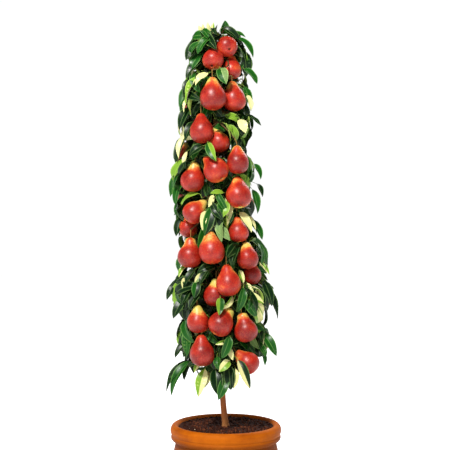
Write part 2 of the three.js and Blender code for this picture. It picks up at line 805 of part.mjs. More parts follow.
const hard = wasm.Manifold.union([
  trunkSolid(KEEP_OFF),
  ...boughSpaces.map(({ bough }) => boughSolid(bough, KEEP_OFF)),
  ...pears.map((pear) => pearSolid(pear, KEEP_OFF)),
]);
for (const space of spaces) {
  const foreign = pears.filter((pear) => pear.space !== space).map((pear) => spurSolid(pear, KEEP_OFF));
  const taken = wasm.Manifold.union([hard, ...foreign]);
  addPart(`foliage_${space.name}`, geometryOf(growMass(space, pears, taken)), LEAF);
}

export default tree;
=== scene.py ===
# The looks of a columnar pear tree in a terracotta pot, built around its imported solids.
# Lengths are worked out in millimetres and turned into metres as each mesh is made.
# +Z is up, -Y is the side that is seen and azimuths run from there towards +X.
# Boughs, stems, spurs and twigs follow the rule of the solids' source, carried on to finer twigs.

import math
from itertools import product
from types import SimpleNamespace

import bmesh
import bpy
import numpy as np
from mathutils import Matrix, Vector, noise


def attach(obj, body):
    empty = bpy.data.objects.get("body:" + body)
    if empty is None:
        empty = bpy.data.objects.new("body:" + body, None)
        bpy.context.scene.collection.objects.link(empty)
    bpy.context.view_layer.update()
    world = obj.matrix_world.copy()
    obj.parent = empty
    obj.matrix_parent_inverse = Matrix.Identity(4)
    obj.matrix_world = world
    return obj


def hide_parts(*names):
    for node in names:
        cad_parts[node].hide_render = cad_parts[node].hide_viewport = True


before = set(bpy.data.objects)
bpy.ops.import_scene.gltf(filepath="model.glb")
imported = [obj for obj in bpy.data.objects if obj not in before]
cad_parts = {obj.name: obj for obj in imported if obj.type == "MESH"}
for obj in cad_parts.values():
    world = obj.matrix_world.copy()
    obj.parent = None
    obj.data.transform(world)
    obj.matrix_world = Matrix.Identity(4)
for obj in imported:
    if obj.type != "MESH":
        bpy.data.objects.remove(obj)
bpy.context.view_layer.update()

MM = 0.001
UP = np.array([0.0, 0.0, 1.0])
TO_VIEWER = np.array([0.0, -1.0, 0.0])
# How far pieces that touch stay apart
GAP = 0.3
# Seeds of the random numbers
BACK_SEED = 41
TOP_SEED = 99
INNER_SEED = 17
BLADE_SEED = 7
CRUMB_SEED = 11
BOUGH_SEED = 3
TWIG_SEED = 5

# Pot: runs of its outline as radius and height, each run a smooth curve with a crease after it
POT_HEIGHT = 300
POT_FLOOR = 16
POT_SIDES = 160
POT_CURVE_STEPS = 6
POT_FOOT = [(0, 0), (60, 0), (116, 0)]
POT_BELLY = [(116, 0), (121, 8), (147, 72), (163, 138), (168, 190), (162, 228), (156.5, 246)]
POT_LOWER_ROLL = [(156.5, 246), (165, 248.5), (171.5, 253), (173.5, 260), (171.2, 267)]
POT_UPPER_ROLL = [(171.2, 267), (174.2, 274), (175, 283), (172.5, 292), (166, 298.5)]
POT_LIP = [(166, 298.5), (160, POT_HEIGHT), (154, 297), (150, 291), (149, 285)]
POT_INSIDE = [(149, 285), (149, 228), (155, 190), (150, 138), (134, 72), (108, POT_FLOOR)]
POT_BOTTOM = [(108, POT_FLOOR), (54, POT_FLOOR), (0, POT_FLOOR)]
DRAIN_RADIUS = 7
DRAIN_CIRCLE = 55
DRAIN_COUNT = 3
# How uneven the thrown pot is, how long its waves are, and the height and reach they start at
THROWN = 0.35
THROWN_WAVES = (60, 60, 11)
THROWN_FROM = (12, 140)

# Soil, the waves of its top as share, length and place in the noise, and the crumbs on it
SOIL_TOP = 291
SOIL_EDGE = 150.5
SOIL_SIDES = 128
SOIL_RINGS = 44
SOIL_RELIEF = 2.6
SOIL_WAVES = [(0.75, 34, 3), (0.45, 7, 8)]
CRUMBS = 2600
CRUMB_REACH = 146
CRUMB_FROM_TRUNK = 4
CRUMB_RADIUS = 0.8
CRUMB_GROWTH = 4.6
CRUMB_STRETCH = (0.55, 1.25)
CRUMB_LUMPS = (0.8, 1.15)
CRUMB_RISE = 0.25
CRUMB_SHARES = [0.46, 0.36, 0.18]
SPECKS = 26
SPECK_SIZE = 0.6

# Trunk, with the layers of its relief: amount, scale round it, length along it and shift
TRUNK_TOP = 1470
TRUNK_FOOT_RADIUS = 10
TRUNK_TIP_RADIUS = 3.2
TRUNK_SUNK = 1.5
FLARE = 3
FLARE_HEIGHT = 9
LEAN = 22
LEAN_HEIGHT = 120
SWAY = 4
SWAY_HEIGHT = 170
TRUNK_SIDES = 40
TRUNK_RINGS = 420
TRUNK_RING_POWER = 1.35
BARK_LAYERS = [(0.3, 3.2, 26, 0), (0.12, 8, 6, 0), (0.5, 0.9, 17, 40)]
BARK_DOT = 0.35
BARK_DOT_FROM = 0.42

# Tiers of short fruiting boughs, and the tiers that are joined in one piece
TIERS = 8
GROUPS = {"lower": range(0, 3), "middle": range(3, 6), "upper": range(6, TIERS + 1)}
FIRST_BOUGH = 440
TIER_HEIGHT = 127
SECTORS = 3
SECTOR_HALF = 60
BOUGH_WAYS = [("front", "right", "left"), ("right", "back", "left")]
BOUGH_STAGGER = 12
BOUGH_SHARE = 0.34
BOUGH_RISES = [30, 18, 42]
BOUGH_SWINGS = [0, 12, -12, 24, -24, 36, -36]
BOUGH_RADIUS = 4.6
BOUGH_TIP_RADIUS = 3.1
BOUGH_COLLAR = 2.2
BOUGH_STEPS = 3

# Spaces of the foliage, between cones that slope down outwards
DROOP = 0.35
SPACE_BELOW_BOUGH = 25
SPACE_OVER_TOP = 100
LOWEST_LEAF = 372
HIGHEST_LEAF = 1576
SPACE_MARGIN = 1.5
# How far the crown reaches from the trunk by height: to the left and to the right
CROWN_OUTLINE = np.array([
    (370, 60, 60), (410, 172, 90), (450, 172, 140), (530, 146, 174), (610, 142, 146), (690, 168, 188),
    (760, 150, 172), (840, 130, 158), (950, 144, 132), (1050, 160, 130), (1180, 140, 108), (1260, 130, 128),
    (1330, 134, 106), (1480, 114, 104), (1540, 90, 80), (1580, 30, 30),
])

# Stems, spurs and twigs
STEM_SHARE = 0.56
STEM_RADIUS = 3
STEM_TIP_RADIUS = 2.0
STEM_STEPS = 2
STEM_COLLAR = 6
STEM_KNEE = 0.4
STEM_SWINGS = [0, 10, -10, 20, -20, 30, -30]
STEM_RISES = [12, 0, 24, -14, 38]
TOP_STEM_RISE = 30
TOP_STEM_REACH = 6
TWIG_TRIES = 8
TWIG_TIP_RADIUS = 1.1
TWIG_RADII = (1.7, TWIG_TIP_RADIUS)
FINE_TWIG_RADII = (1.2, 0.9)
FREE_STEPS = 12
SPUR_STEPS = 3
SPUR_RADII = (2.3, 2.1)
SPUR_KNEE = 0.6
SPUR_ROOTS = [0.95, 0.75, 0.5, 0.25]
SPUR_LIFTS = [10, 26, -6, 45, -25]
SPUR_TUCKS = [0, 20, 40]
SPUR_SLEWS = [0, 25, -25, 50, -50, 80, -80]
SPUR_AHEAD = 2
CURVE_STEPS = 10
# Twigs of a mass and of the top one. Each goes by turns to a low and a high target: how full the
# space is below it or, at the top, its range above the trunk's tip and share of the crown's reach
TWIGS = 6
TOP_TWIGS = 9
TWIG_ROOTS = (0.3, 0.95)
TWIG_PLACES = (0.1, 0.9)
TWIG_REACHES = (0.6, 0.85)
TWIG_FAN = 0.9
TWIG_ARCH = 0.18
TWIG_FILLS = [(0.4, 0.7), (0.7, 0.95)]
TOP_TARGETS = [(-10, 20, 0.7), (20, HIGHEST_LEAF - TRUNK_TOP - 40, 0.35)]
# Where finer twigs leave their parents, how long they are and how far they arch
FINE_ROOTS = (0.35, 0.6, 0.8)
FINE_LENGTHS = (26, 52)
FINE_ARCHES = (2, 8)

# Rings and sides of the tubes
BOUGH_MESH = (26, 14)
STEM_MESH = (16, 9)
SPUR_MESH = (14, 8)
STALK_MESH = (10, 8)
LEAF_STALK_MESH = (6, 5)
TWIG_SIDES = 7
FINE_TWIG_SIDES = 6
# Radius of a fruit stalk's middle and what its ends add, and radii along a leaf's stalk
STALK_RADII = (1.5, 1.0)
LEAF_STALK_RADII = (1.05, 0.75)
LEAF_STALK_SUNK = 1.5
# How uneven the radii of other limbs are
BOUGH_UNEVEN = (-0.25, 0.35)
STEM_UNEVEN = (-0.15, 0.25)
SPUR_UNEVEN = (-0.15, 0.3)

# Pears, whose shape is given in belly radii from the middle of the belly
STALK_LENGTH = 24
STALK_RADIUS = 1.8
STALK_LEANS = [(0, 0), (0.6, 0), (0.6, 0.8), (0.6, -0.8), (1.5, 0), (1.5, 1), (1.5, -1), (4, 0)]
STALK_STRETCHES = [1, 0.75, 1.3, 1.7]
STALK_CHECKS = np.array([[0.4], [0.7], [1.0]])
PEAR_NECK = 0.4
PEAR_BOTTOM = -0.92
PEAR_SHOULDER = 1.35
PEAR_TOP = 1.62
PEAR_ROUNDNESS = 2.2
PEAR_FULLNESS = 0.75
PEAR_SPINE = np.array([-0.3, 0, 0.45, 0.9, 1.3])
PEAR_CLEARANCE = 5
# Fruit on the side that is seen: across, depth towards the viewer, height and belly radius,
# then the way the neck points: right, away from the viewer and up
FRONT_PEARS = [
    (4, 52, 1482, 32, -0.25, 0.86, 0.45), (-40, 62, 1440, 33, 0.14, 0.6, 0.78),
    (18, 28, 1412, 30, 0.0, 0.1, 1.0), (-39, 108, 1315, 40, -0.04, 0.1, 1.0),
    (25, 62, 1314, 37, -0.1, 0.1, 1.0), (-74, 88, 1213, 37, -0.05, 0.2, 0.96),
    (-20, 66, 1181, 32, -0.27, 0.1, 0.95), (-30, 118, 1093, 38, -0.5, 0.45, 0.74),
    (-103, 78, 1063, 37, 0.12, 0.05, 0.99), (36, 112, 1115, 34, -0.04, 0.0, 1.0),
    (40, 112, 1015, 39, -0.09, 0.3, 0.95), (-100, 84, 964, 34, 0.7, 0.15, 0.65),
    (-118, 34, 916, 30, 0.15, 0.0, 0.98), (-112, 78, 829, 37, 0.05, 0.1, 0.99),
    (-42, 118, 845, 40, -0.14, 0.1, 0.98), (39, 92, 903, 31, -0.1, 0.15, 0.97),
    (67, 94, 822, 33, -0.1, 0.15, 0.97), (80, 50, 768, 30, 0.0, 0.0, 1.0),
    (8, 122, 746, 38, -0.1, 0.1, 0.99), (-35, 80, 708, 34, 0.08, 0.05, 0.99),
    (-85, 96, 627, 34, -0.06, 0.0, 1.0), (-16, 122, 625, 38, 0.5, 0.45, 0.74),
    (61, 104, 602, 36, -0.22, 0.0, 0.97), (-72, 112, 531, 38, -0.06, 0.05, 0.99),
    (70, 96, 502, 34, -0.7, 0.15, 0.65),
]
# Fruit on the other sides: how many, where, how large, how far in, and how the neck leans
BACK_PEARS = 18
BACK_FROM = 92
BACK_SWEEP = 176
BACK_HEIGHTS = (520, 1430)
BACK_RADII = (32, 39)
BACK_SETBACKS = (2, 16)
BACK_LEANS = (-0.35, 0.1)
GOLDEN = 0.618034

# Fruit meshes
PEAR_SIDES = 32
PEAR_LUMPS = 0.055
# Which front pears have a distinct neck, and how the two forms narrow towards the stalk
NECKED = [7, 8, 13, 21, 22]
NECK_FORM = [
    (0, 1), (0.3, 0.96), (0.56, 0.85), (0.8, 0.67), (1, 0.55), (1.2, 0.49), (1.38, 0.44), (1.52, 0.33),
    (1.59, 0.18),
]
CONE_FORM = [
    (0, 1), (0.35, 0.955), (0.65, 0.82), (0.9, 0.65), (1.12, 0.52), (1.32, 0.42), (1.48, 0.32), (1.58, 0.18),
]
# The front pears whose necks are the yellowest, and how yellow
YELLOW_NECKS = {
    1: 0.55, 3: 0.7, 4: 0.4, 6: 0.75, 8: 0.7, 9: 0.6, 13: 0.6, 19: 0.95, 20: 0.75, 22: 0.55, 24: 0.3,
}
PEAR_CALYX_RINGS = [(-0.80, 0.0), (-0.815, 0.07), (-0.87, 0.14), (-0.905, 0.2)]
PEAR_LOWER_RINGS = 9
PEAR_CURVE_STEPS = 2
PEAR_STALK_RINGS = [(1.59, 0.18), (1.60, 0.11), (1.57, 0.06), (1.55, 0.0)]
# The sepals' number, their place, and in millimetres their reach, half width, thickness and droop
SEPALS = 5
SEPAL_AT = 0.815
SEPAL_REACH = (1.2, 5.2)
SEPAL_HALF = 1.4
SEPAL_THICKNESS = 0.8
SEPAL_DROOP = 2.6
# How red a pear is, how much that varies between pears and what its outer side and its patches add;
# the start and length of its paler neck; the place, half length and paleness of its waist
RIPE = 0.6
RIPE_SPREAD = 0.1
BLUSH_OUTWARDS = 0.26
BLUSH_PATCHES = 0.34
BLUSH_NECK = (0.6, 0.7)
BLUSH_WAIST = (0.75, 0.5, 0.08)

# Leaves: rows along the blade and columns across it, and how its half width grows along it
LEAF_ROWS = 9
LEAF_COLUMNS = np.array([-1, -0.84, -0.06, 0.06, 0.84, 1])
LEAF_OUTLINE = [
    (0, 0.04), (0.08, 0.52), (0.2, 0.84), (0.38, 1), (0.55, 0.97), (0.7, 0.8), (0.86, 0.45), (1, 0.02),
]
LEAF_THICKNESS = 0.9
LEAF_SHAPE = ["base", "way", "facing", "length", "curl", "twist"]
# What each leaf is drawn from, in this order: angles in degrees, lengths in millimetres, the roll
# of its face, and its width as a share of its length
LEAF_RANGES = {
    "turn": (-80, 80), "lift": (-30, 60), "dip": (-20, 66), "roll": (-1.3, 1.3), "length": (66, 108),
    "stalk": (12, 30), "width": (0.33, 0.46), "curl": (8, 105), "twist": (-35, 35),
}
# A blade's fold in degrees, the height of the waves in its edge in millimetres, and their phase
BLADE_RANGES = [(8, 34), (0.5, 2.6), (0, 6.28)]
# Within so many millimetres of the trunk's axis a leaf may head up to so many degrees to either side
# of its space's middle, in place of the way out from the axis
LEAF_NEAR_TRUNK = 15
LEAF_ANY_WAY = 60
# How much a leaf faces outwards and up
LEAF_FACING = (0.6, 0.8)
# How much higher the stalks and blades of the top mass point, in degrees
TOP_LIFT = 20
TOP_RAISE = 30
# A leaf is tried this often, and measured at rows and edges along it
LEAF_TRIES = 10
CHECK_ROWS = 4
CHECK_EDGES = (-0.9, -0.45, 0.45, 0.9)
# How far apart leaves are between their middles and at their edges, and how near others count
LEAF_SPACING = 8
EDGE_SPACING = 4.5
LEAF_LONGEST = 110
PEARS_WITHIN = 300
# How far leaves may go into the next space, and how clear they are of crown, trunk and fruit
SPACE_OVERLAP = 45
CROWN_MARGIN = 3
TRUNK_MARGIN = 2
PEAR_MARGIN = 1.2
# How much of a pear's rim a leaf in front may cover
SIGHT_COVER = 1
# How often a leaf goes as far out as it can, and how far the others stay back from there
OUTERMOST = 0.3
SETBACK = (12, 58)
# How far out the lowest leaves reach, and how that widens upwards
SKIRT_FOOT = 396
SKIRT_REACH = 30
SKIRT_SLOPE = 1.05
# Where leaves join the limbs that bear them
STEM_JOINTS = [0.25, 0.5, 0.75, 1.0, 1.0]
BOUGH_JOINTS = [0.35, 0.5, 0.65, 0.8, 0.95]
TWIG_JOINTS = [1.0, 1.0, 1.0, 0.9, 0.8, 0.7, 0.6, 0.5, 0.4, 0.3]
SPUR_JOINTS = [0.92, 0.85, 0.75, 0.6, 0.5]
FINE_JOINTS = [1.0, 1.0, 0.95, 0.85, 0.7, 0.5]
# Short spurs on the trunk, whose leaves fill the inside of the crown
INNER_SPURS = 460
INNER_RANGE = (432, 1530)
INNER_REACH = (12, 70)
INNER_RISE = (4, 22)
INNER_ARCH = 3
INNER_LEAVES = 3
INNER_PEARS_WITHIN = 210
# Share of the inner leaves that are green; the rest are near black, painted shade
INNER_GREEN = 0.2
# How far behind its foot a leaf that stands out may join its sprig, how far the sprig may swing
# aside, how many of the nearest points of wood are tried, and how stalk and sprig bend
SEEN_TUCKS = (34, 22, 12, 4)
SEEN_SLEWS = (0, 22, -22, 44, -44)
SEEN_ROOTS = 90
SEEN_STALK = 10
SEEN_KNEE = 4
SEEN_BACK = 8
# How much such a leaf faces outwards, towards the viewer and up, and how it rolls, curls and twists
SEEN_FACING = (0.4, 0.6, 0.35)
SEEN_ROLL = 0.45
SEEN_CURLS = (25, 70)
SEEN_TWIST = 25

# Leaves that stand out on the side that is seen: the foot's place across and up, as seen
# against the trunk, and its depth towards the viewer, the same of the tip, the width and tone
# A tone of two names paints one half of the blade lit and the other shaded
SEEN_LEAVES = [
    (-12, 1532, 6, -3, 1575, 20, 34, "green"), (2, 1532, 8, 62, 1518, 28, 28, "green"),
    (29, 1518, 28, 84, 1452, 48, 34, "green"), (-48, 1528, 11, -112, 1502, 31, 36, "green"),
    (-88, 1512, 26, -124, 1446, 46, 36, "deep"), (-44, 1512, 41, -108, 1486, 61, 30, "fresh"),
    (-66, 1478, 22, -106, 1410, 42, 34, "green"), (-78, 1446, 26, -126, 1388, 46, 34, "deep"),
    (-72, 1530, 8, -86, 1558, 14, 16, "pale"), (-64, 1532, 8, -72, 1564, 16, 14, "pale"),
    (-46, 1530, 8, -56, 1570, 16, 16, "pale"), (-38, 1532, 8, -38, 1568, 16, 16, "pale-fresh"),
    (-18, 1424, 98, -2, 1370, 118, 38, "grey-green"), (-56, 1436, 10, -26, 1376, 6, 44, "deep"),
    (8, 482, 100, 14, 404, 112, 40, "deep"), (30, 472, 104, 24, 408, 118, 26, "pale-deep"),
    (10, 560, 110, -34, 548, 120, 16, "pale-fresh"), (8, 540, 112, 20, 498, 124, 18, "pale"),
    (-84, 494, 80, -100, 460, 92, 16, "pale-fresh"), (-74, 772, 88, -98, 742, 100, 20, "grey-pale"),
    (42, 784, 90, 56, 742, 100, 20, "pale-fresh"), (66, 744, 80, 80, 690, 92, 24, "pale-green"),
    (104, 812, 30, 138, 770, 44, 18, "fresh-pale"), (66, 686, 76, 82, 640, 90, 22, "pale"),
    (-98, 1252, 62, -130, 1192, 80, 32, "deep"), (-122, 1160, 60, -134, 1112, 72, 16, "pale"),
    (-126, 1212, 46, -148, 1136, 60, 32, "deep-pale"), (-66, 790, 14, -46, 738, 10, 42, "deep"),
    (-40, 1022, 104, -54, 982, 116, 18, "pale"), (-40, 950, 104, -54, 904, 116, 18, "pale-fresh"),
    (70, 956, 70, 94, 910, 82, 20, "pale-green"), (-120, 1330, 60, -134, 1282, 72, 14, "pale"),
    (58, 1422, 26, 98, 1372, 46, 34, "green"), (-56, 1408, 78, -98, 1368, 98, 32, "pale"),
    (-106, 1376, 36, -146, 1300, 56, 36, "green"), (-112, 1300, 36, -142, 1226, 56, 34, "deep"),
    (68, 1338, 50, 80, 1288, 60, 22, "pale"), (44, 1262, 82, 62, 1216, 102, 30, "pale"),
    (72, 1276, 26, 112, 1240, 46, 16, "deep"), (-58, 1186, 126, -31, 1126, 158, 30, "fresh-green"),
    (-72, 1178, 108, -114, 1146, 108, 30, "deep"), (-140, 1098, 6, -172, 1014, 26, 34, "green"),
    (88, 1121, 22, 110, 1070, 42, 28, "green"), (92, 1060, 16, 112, 1014, 36, 22, "deep"),
    (-6, 1004, 112, -10, 950, 130, 42, "fresh-green"), (-8, 1030, 108, -50, 1026, 128, 20, "fresh"),
    (-66, 972, 102, -71, 908, 122, 22, "pale"), (44, 968, 84, 82, 902, 104, 28, "pale"),
    (-33, 934, 98, 10, 874, 118, 32, "grey"), (80, 944, 32, 112, 878, 52, 30, "green"),
    (-138, 952, 26, -156, 890, 46, 34, "deep"), (-120, 762, 64, -128, 716, 84, 30, "pale"),
    (-124, 798, 50, -148, 760, 62, 22, "pale-fresh"), (-98, 786, 86, -128, 736, 100, 28, "deep"),
    (-112, 726, 84, -140, 672, 96, 30, "deep"), (-90, 748, 96, -98, 694, 112, 30, "deep-green"),
    (-146, 756, 16, -182, 686, 36, 26, "deep"), (-122, 704, 36, -164, 628, 56, 34, "deep"),
    (98, 724, 62, 114, 656, 82, 36, "deep-pale"), (118, 742, 12, 164, 626, 32, 32, "deep"),
    (-18, 696, 124, -21, 640, 158, 28, "green-fresh"), (112, 586, 26, 154, 508, 46, 34, "green"),
    (98, 548, 40, 124, 480, 54, 24, "green"), (-120, 500, 12, -189, 398, 32, 34, "deep"),
    (-114, 498, 26, -168, 384, 46, 36, "green"), (-112, 494, 10, -131, 434, 30, 26, "deep"),
    (-117, 563, 26, -162, 506, 46, 30, "deep"), (-113, 548, 12, -133, 507, 32, 24, "green"),
    (-126, 632, 20, -146, 586, 40, 24, "deep"), (-102, 628, 72, -132, 556, 88, 34, "deep"),
    (-106, 570, 68, -128, 504, 82, 30, "deep"), (-132, 1098, 6, -174, 1079, 26, 14, "deep"),
    (-66, 472, 86, -88, 382, 106, 38, "pale-fresh"), (-56, 464, 70, -72, 408, 90, 32, "pale"),
    (-33, 472, 98, -26, 390, 118, 44, "deep"), (3, 446, 104, -22, 372, 124, 34, "green"),
    (38, 500, 132, 72, 406, 152, 34, "deep-pale"), (12, 498, 118, -22, 462, 138, 30, "fresh-pale"),
    (-28, 510, 110, -24, 468, 130, 24, "green"), (96, 556, 56, 124, 508, 76, 28, "green"),
    (-132, 1204, 30, -154, 1116, 44, 36, "deep"), (-136, 1066, 30, -156, 988, 44, 34, "green"),
    (84, 1040, 50, 100, 962, 64, 30, "green"), (118, 752, 30, 142, 668, 50, 34, "deep"),
    (104, 574, 50, 120, 508, 64, 30, "deep"), (-22, 1486, -10, 8, 1408, -14, 46, "deep"),
    (52, 1480, 4, 58, 1394, 0, 44, "deep"), (-16, 1336, 12, -4, 1262, 8, 46, "deep"),
    (48, 1316, 16, 58, 1250, 12, 38, "deep"), (58, 1366, 30, 80, 1286, 44, 30, "green"),
]

# Tones of the leaves, as top side and underside
TONES = {
    "deep": ((5, 30, 6), (32, 62, 23)),
    "green": ((17, 68, 13), (68, 100, 40)),
    "fresh": ((102, 138, 38), (140, 164, 76)),
    "grey": ((96, 122, 70), (150, 164, 112)),
    "pale": ((194, 190, 132), (212, 208, 166)),
}
# How often each tone comes, for sprays that reach this share of the crown; others are near black, painted
# shade inside the crown
# A tone of two names paints light on one half of a blade and shade on the other, as a folded blade shows them
TONE_SHARES = [
    ("deep", 0.38), ("green", 0.26), ("deep-green", 0.07), ("green-fresh", 0.05),
    ("fresh", 0.07), ("grey", 0.05), ("pale-fresh", 0.06), ("pale", 0.03),
]
PAINTED_SHADE_WITHIN = 0.5
# How often a spray of the top mass is green, and a leaf has its spray's tone, for pale ones and others
TOP_GREEN = 0.7
PALE_KEPT = 0.25
TONE_KEPT = 0.6

# Colours: leaf ribs, also painted on leaf edges as rim light, the pears' skin from yellow to red, clay from
# dark to light and its painted shadow under the rim, bark and soil
# Paler colour of the leaf ribs, which the edges of the blades also take as painted rim light
RIB_AND_PAINTED_RIM = (176, 196, 116)
RIB_AND_PAINTED_RIM_SHARE = 0.36
PEAR_SKIN = [
    (0.0, (170, 166, 78)), (0.2, (204, 162, 76)), (0.38, (184, 82, 36)), (0.58, (158, 31, 15)),
    (1.0, (110, 10, 8)),
]
PEAR_DOTS = (226, 150, 92)
CLAY = [(0.0, (133, 60, 2)), (0.35, (155, 75, 3)), (0.7, (170, 86, 5)), (1.0, (184, 101, 18))]
CLAY_GRIT = (112, 48, 20)
# Painted shadow on the clay under the pot's upper rim roll
CLAY_RIM_SHADOW = (96, 42, 8)
TRUNK_BARK = ((170, 112, 62), (158, 86, 42))
TWIG_BARK = (86, 66, 36)
# Name, colour, roughness and scale of the grain
SOIL_LOOKS = [
    ("dark", (44, 18, 8), 0.85, 160),
    ("brown", (68, 31, 17), 0.85, 160),
    ("bark", (96, 52, 30), 0.8, 200),
    ("speck", (206, 190, 160), 0.7, 300),
]

# Floor, light and camera, in metres and watts
FLOOR_HALF = 14
FLOOR_GLOW = (0.45, 0.92)
LIT = (0, 0, 0.9)
LIGHTS = [
    ("key", (-0.9, -2.5, 3.3), 0.6, 215, (1, 0.98, 0.94)),
    ("back", (1.2, 2.6, 3.2), 2.6, 84, (1, 1, 1)),
]
CAMERA_AT = (-0.0027, -3.121, 0.927)
LENS_MM = 78.9
SENSOR_MM = 36


class Draw:
    """Repeatable random numbers from 0 to 1, in the same run as the solids' source draws them."""

    def __init__(self, seed):
        self.state = (seed * 7919 + 12345) % 2**32
        for _ in range(3):
            self()

    def __call__(self):
        self.state = (self.state * 1664525 + 1013904223) % 2**32
        return self.state / 2**32

    def between(self, low, high):
        return low + (high - low) * self()


def mix(a, b, t):
    return a + (b - a) * t


def unit(vectors):
    return vectors / np.linalg.norm(vectors, axis=-1, keepdims=True)


def heading(azimuth):
    """Unit vectors across the ground at azimuths in degrees."""
    angle = np.radians(azimuth)
    return np.stack([np.sin(angle), -np.cos(angle), np.zeros_like(angle)], -1)


def trunk_axis(z):
    z = np.asarray(z, float)
    rise = np.maximum(z - SOIL_TOP, 0)
    x = -LEAN * (1 - np.exp(-rise / LEAN_HEIGHT)) + SWAY * np.sin(rise / SWAY_HEIGHT)
    y = SWAY * (np.sin(rise / SWAY_HEIGHT / 1.3 + 1) - math.sin(1))
    return np.stack([x, y, z], -1)


def trunk_radius(z):
    rise = np.asarray(z, float) - SOIL_TOP
    share = np.minimum(rise / (TRUNK_TOP - SOIL_TOP), 1)
    return mix(TRUNK_FOOT_RADIUS, TRUNK_TIP_RADIUS, share) + FLARE * np.exp(-rise / FLARE_HEIGHT)


def about_trunk(points):
    """Distance, azimuth and cone level of points about the trunk."""
    offset = points - trunk_axis(points[..., 2])
    reach = np.hypot(offset[..., 0], offset[..., 1])
    azimuth = np.degrees(np.arctan2(offset[..., 0], -offset[..., 1]))
    return reach, azimuth, points[..., 2] + DROOP * reach


def point_about(azimuth, reach, level):
    return trunk_axis(level - DROOP * reach) + heading(azimuth) * reach


def crown_reach(z, azimuth):
    left, right = (np.interp(z, CROWN_OUTLINE[:, 0], CROWN_OUTLINE[:, side]) for side in (1, 2))
    return mix(left, right, 0.5 + 0.5 * np.sin(np.radians(azimuth)))


def bend(start, knee, end, steps):
    """A bend from one point to another, as a line of points."""
    t = np.linspace(0, 1, steps + 1)[:, None]
    return (1 - t) ** 2 * start + 2 * (1 - t) * t * knee + t**2 * end


def points_on(line, shares):
    at = np.asarray(shares, float) * (len(line) - 1)
    i = np.minimum(at.astype(int), len(line) - 2)
    return mix(line[i], line[i + 1], (at - i)[:, None])


def point_on(line, share):
    return points_on(line, [share])[0]


def nearest(points, others):
    """The least distance between two sets of points; infinite where one is empty."""
    return np.linalg.norm(points[:, None] - others, axis=-1).min(initial=math.inf)


# Spaces of the foliage
def make_spaces():
    """The space of each bough's foliage, and last the one about the trunk's tip."""
    spaces = []
    for i in range(TIERS * SECTORS):
        tier, sector = divmod(i, SECTORS)
        low = FIRST_BOUGH + TIER_HEIGHT * tier - SPACE_BELOW_BOUGH
        spaces.append(SimpleNamespace(
            name=f"{tier + 1}_{BOUGH_WAYS[tier % 2][sector]}",
            tier=tier,
            seed=i + 1,
            azimuth=(2 * sector + tier % 2) * SECTOR_HALF,
            bough_height=low + SPACE_BELOW_BOUGH + BOUGH_STAGGER * sector,
            low=low,
            high=low + TIER_HEIGHT,
            is_top=False,
        ))
    top = {"name": "top", "tier": TIERS, "seed": TOP_SEED, "azimuth": 0, "is_top": True}
    spaces.append(SimpleNamespace(**top, low=spaces[-1].high, high=HIGHEST_LEAF + SPACE_OVER_TOP))
    return spaces


def group_of(tier):
    return next(name for name, tiers in GROUPS.items() if tier in tiers)


def depth_in_space(points, space):
    """How far inside its space each point is; negative outside."""
    reach, azimuth, level = about_trunk(points)
    slope = math.hypot(1, DROOP)
    depth = np.minimum((space.high - level) / slope, depth_in_crown(points, reach, azimuth))
    if space.tier > 0:
        depth = np.minimum(depth, (level - space.low) / slope)
    if not space.is_top:
        turn = ((azimuth - space.azimuth) % 360 + 540) % 360 - 180
        spare = np.clip(SECTOR_HALF - np.abs(turn), -90, 90)
        depth = np.minimum(depth, reach * np.sin(np.radians(spare)))
    return depth


def depth_in_crown(points, reach, azimuth):
    z = points[..., 2]
    depth = np.minimum(z - LOWEST_LEAF, HIGHEST_LEAF - z)
    return np.minimum(depth, crown_reach(z, azimuth) - reach)


# Fruit
def pear_radius(t):
    """A pear's radius at places along it, both in belly radii."""
    t = np.asarray(t, float)
    low = np.clip(1 - (np.minimum(t, 0) / PEAR_BOTTOM) ** PEAR_ROUNDNESS, 0, 1) ** (1 / PEAR_ROUNDNESS)
    waist = 0.5 + 0.5 * np.cos(math.pi * np.clip(t, 0, PEAR_SHOULDER) / PEAR_SHOULDER)
    radius = PEAR_NECK + (1 - PEAR_NECK) * waist**PEAR_FULLNESS
    cap = np.clip((t - PEAR_SHOULDER) / (PEAR_TOP - PEAR_SHOULDER), 0, 1)
    high = radius * np.sqrt(1 - cap * cap)
    return np.where((t <= PEAR_BOTTOM) | (t >= PEAR_TOP), 0, np.where(t < 0, low, high))


def make_pear(centre, radius, neck, opening):
    """opening is the way in which the pear is seen from outside the crown."""
    top = centre + neck * radius * PEAR_TOP
    return SimpleNamespace(centre=centre, radius=radius, neck=neck, opening=opening, top=top)


def stacked(pears):
    """The pears' values as arrays, for measuring from all of them at once."""
    names = ["centre", "radius", "neck", "opening", "top"]
    if all(hasattr(pear, "stalk_top") for pear in pears):
        names.append("stalk_top")
    return SimpleNamespace(**{name: np.array([getattr(pear, name) for pear in pears]) for name in names})


def outside_pears(points, fruit):
    """How far points are outside each pear, roughly; negative inside. Points may be one row a pear."""
    rows = points if points.ndim == 3 else points[:, None]
    offset = (rows - fruit.centre) / fruit.radius[:, None]
    along = (offset * fruit.neck).sum(-1)
    across = np.linalg.norm(offset - along[..., None] * fruit.neck, axis=-1)
    over = np.abs(along - (PEAR_TOP + PEAR_BOTTOM) / 2) - (PEAR_TOP - PEAR_BOTTOM) / 2
    return fruit.radius * np.maximum(over, across - pear_radius(along))


def outside_fruit(points, fruit):
    """How far each point is outside each pear and its stalk."""
    stalk = fruit.stalk_top - fruit.top
    share = ((points[:, None] - fruit.top) * stalk).sum(-1) / (stalk**2).sum(-1)
    near = fruit.top + np.clip(share, 0, 1)[..., None] * stalk
    from_stalk = np.linalg.norm(points[:, None] - near, axis=-1) - STALK_RADIUS
    return np.minimum(outside_pears(points, fruit), from_stalk)


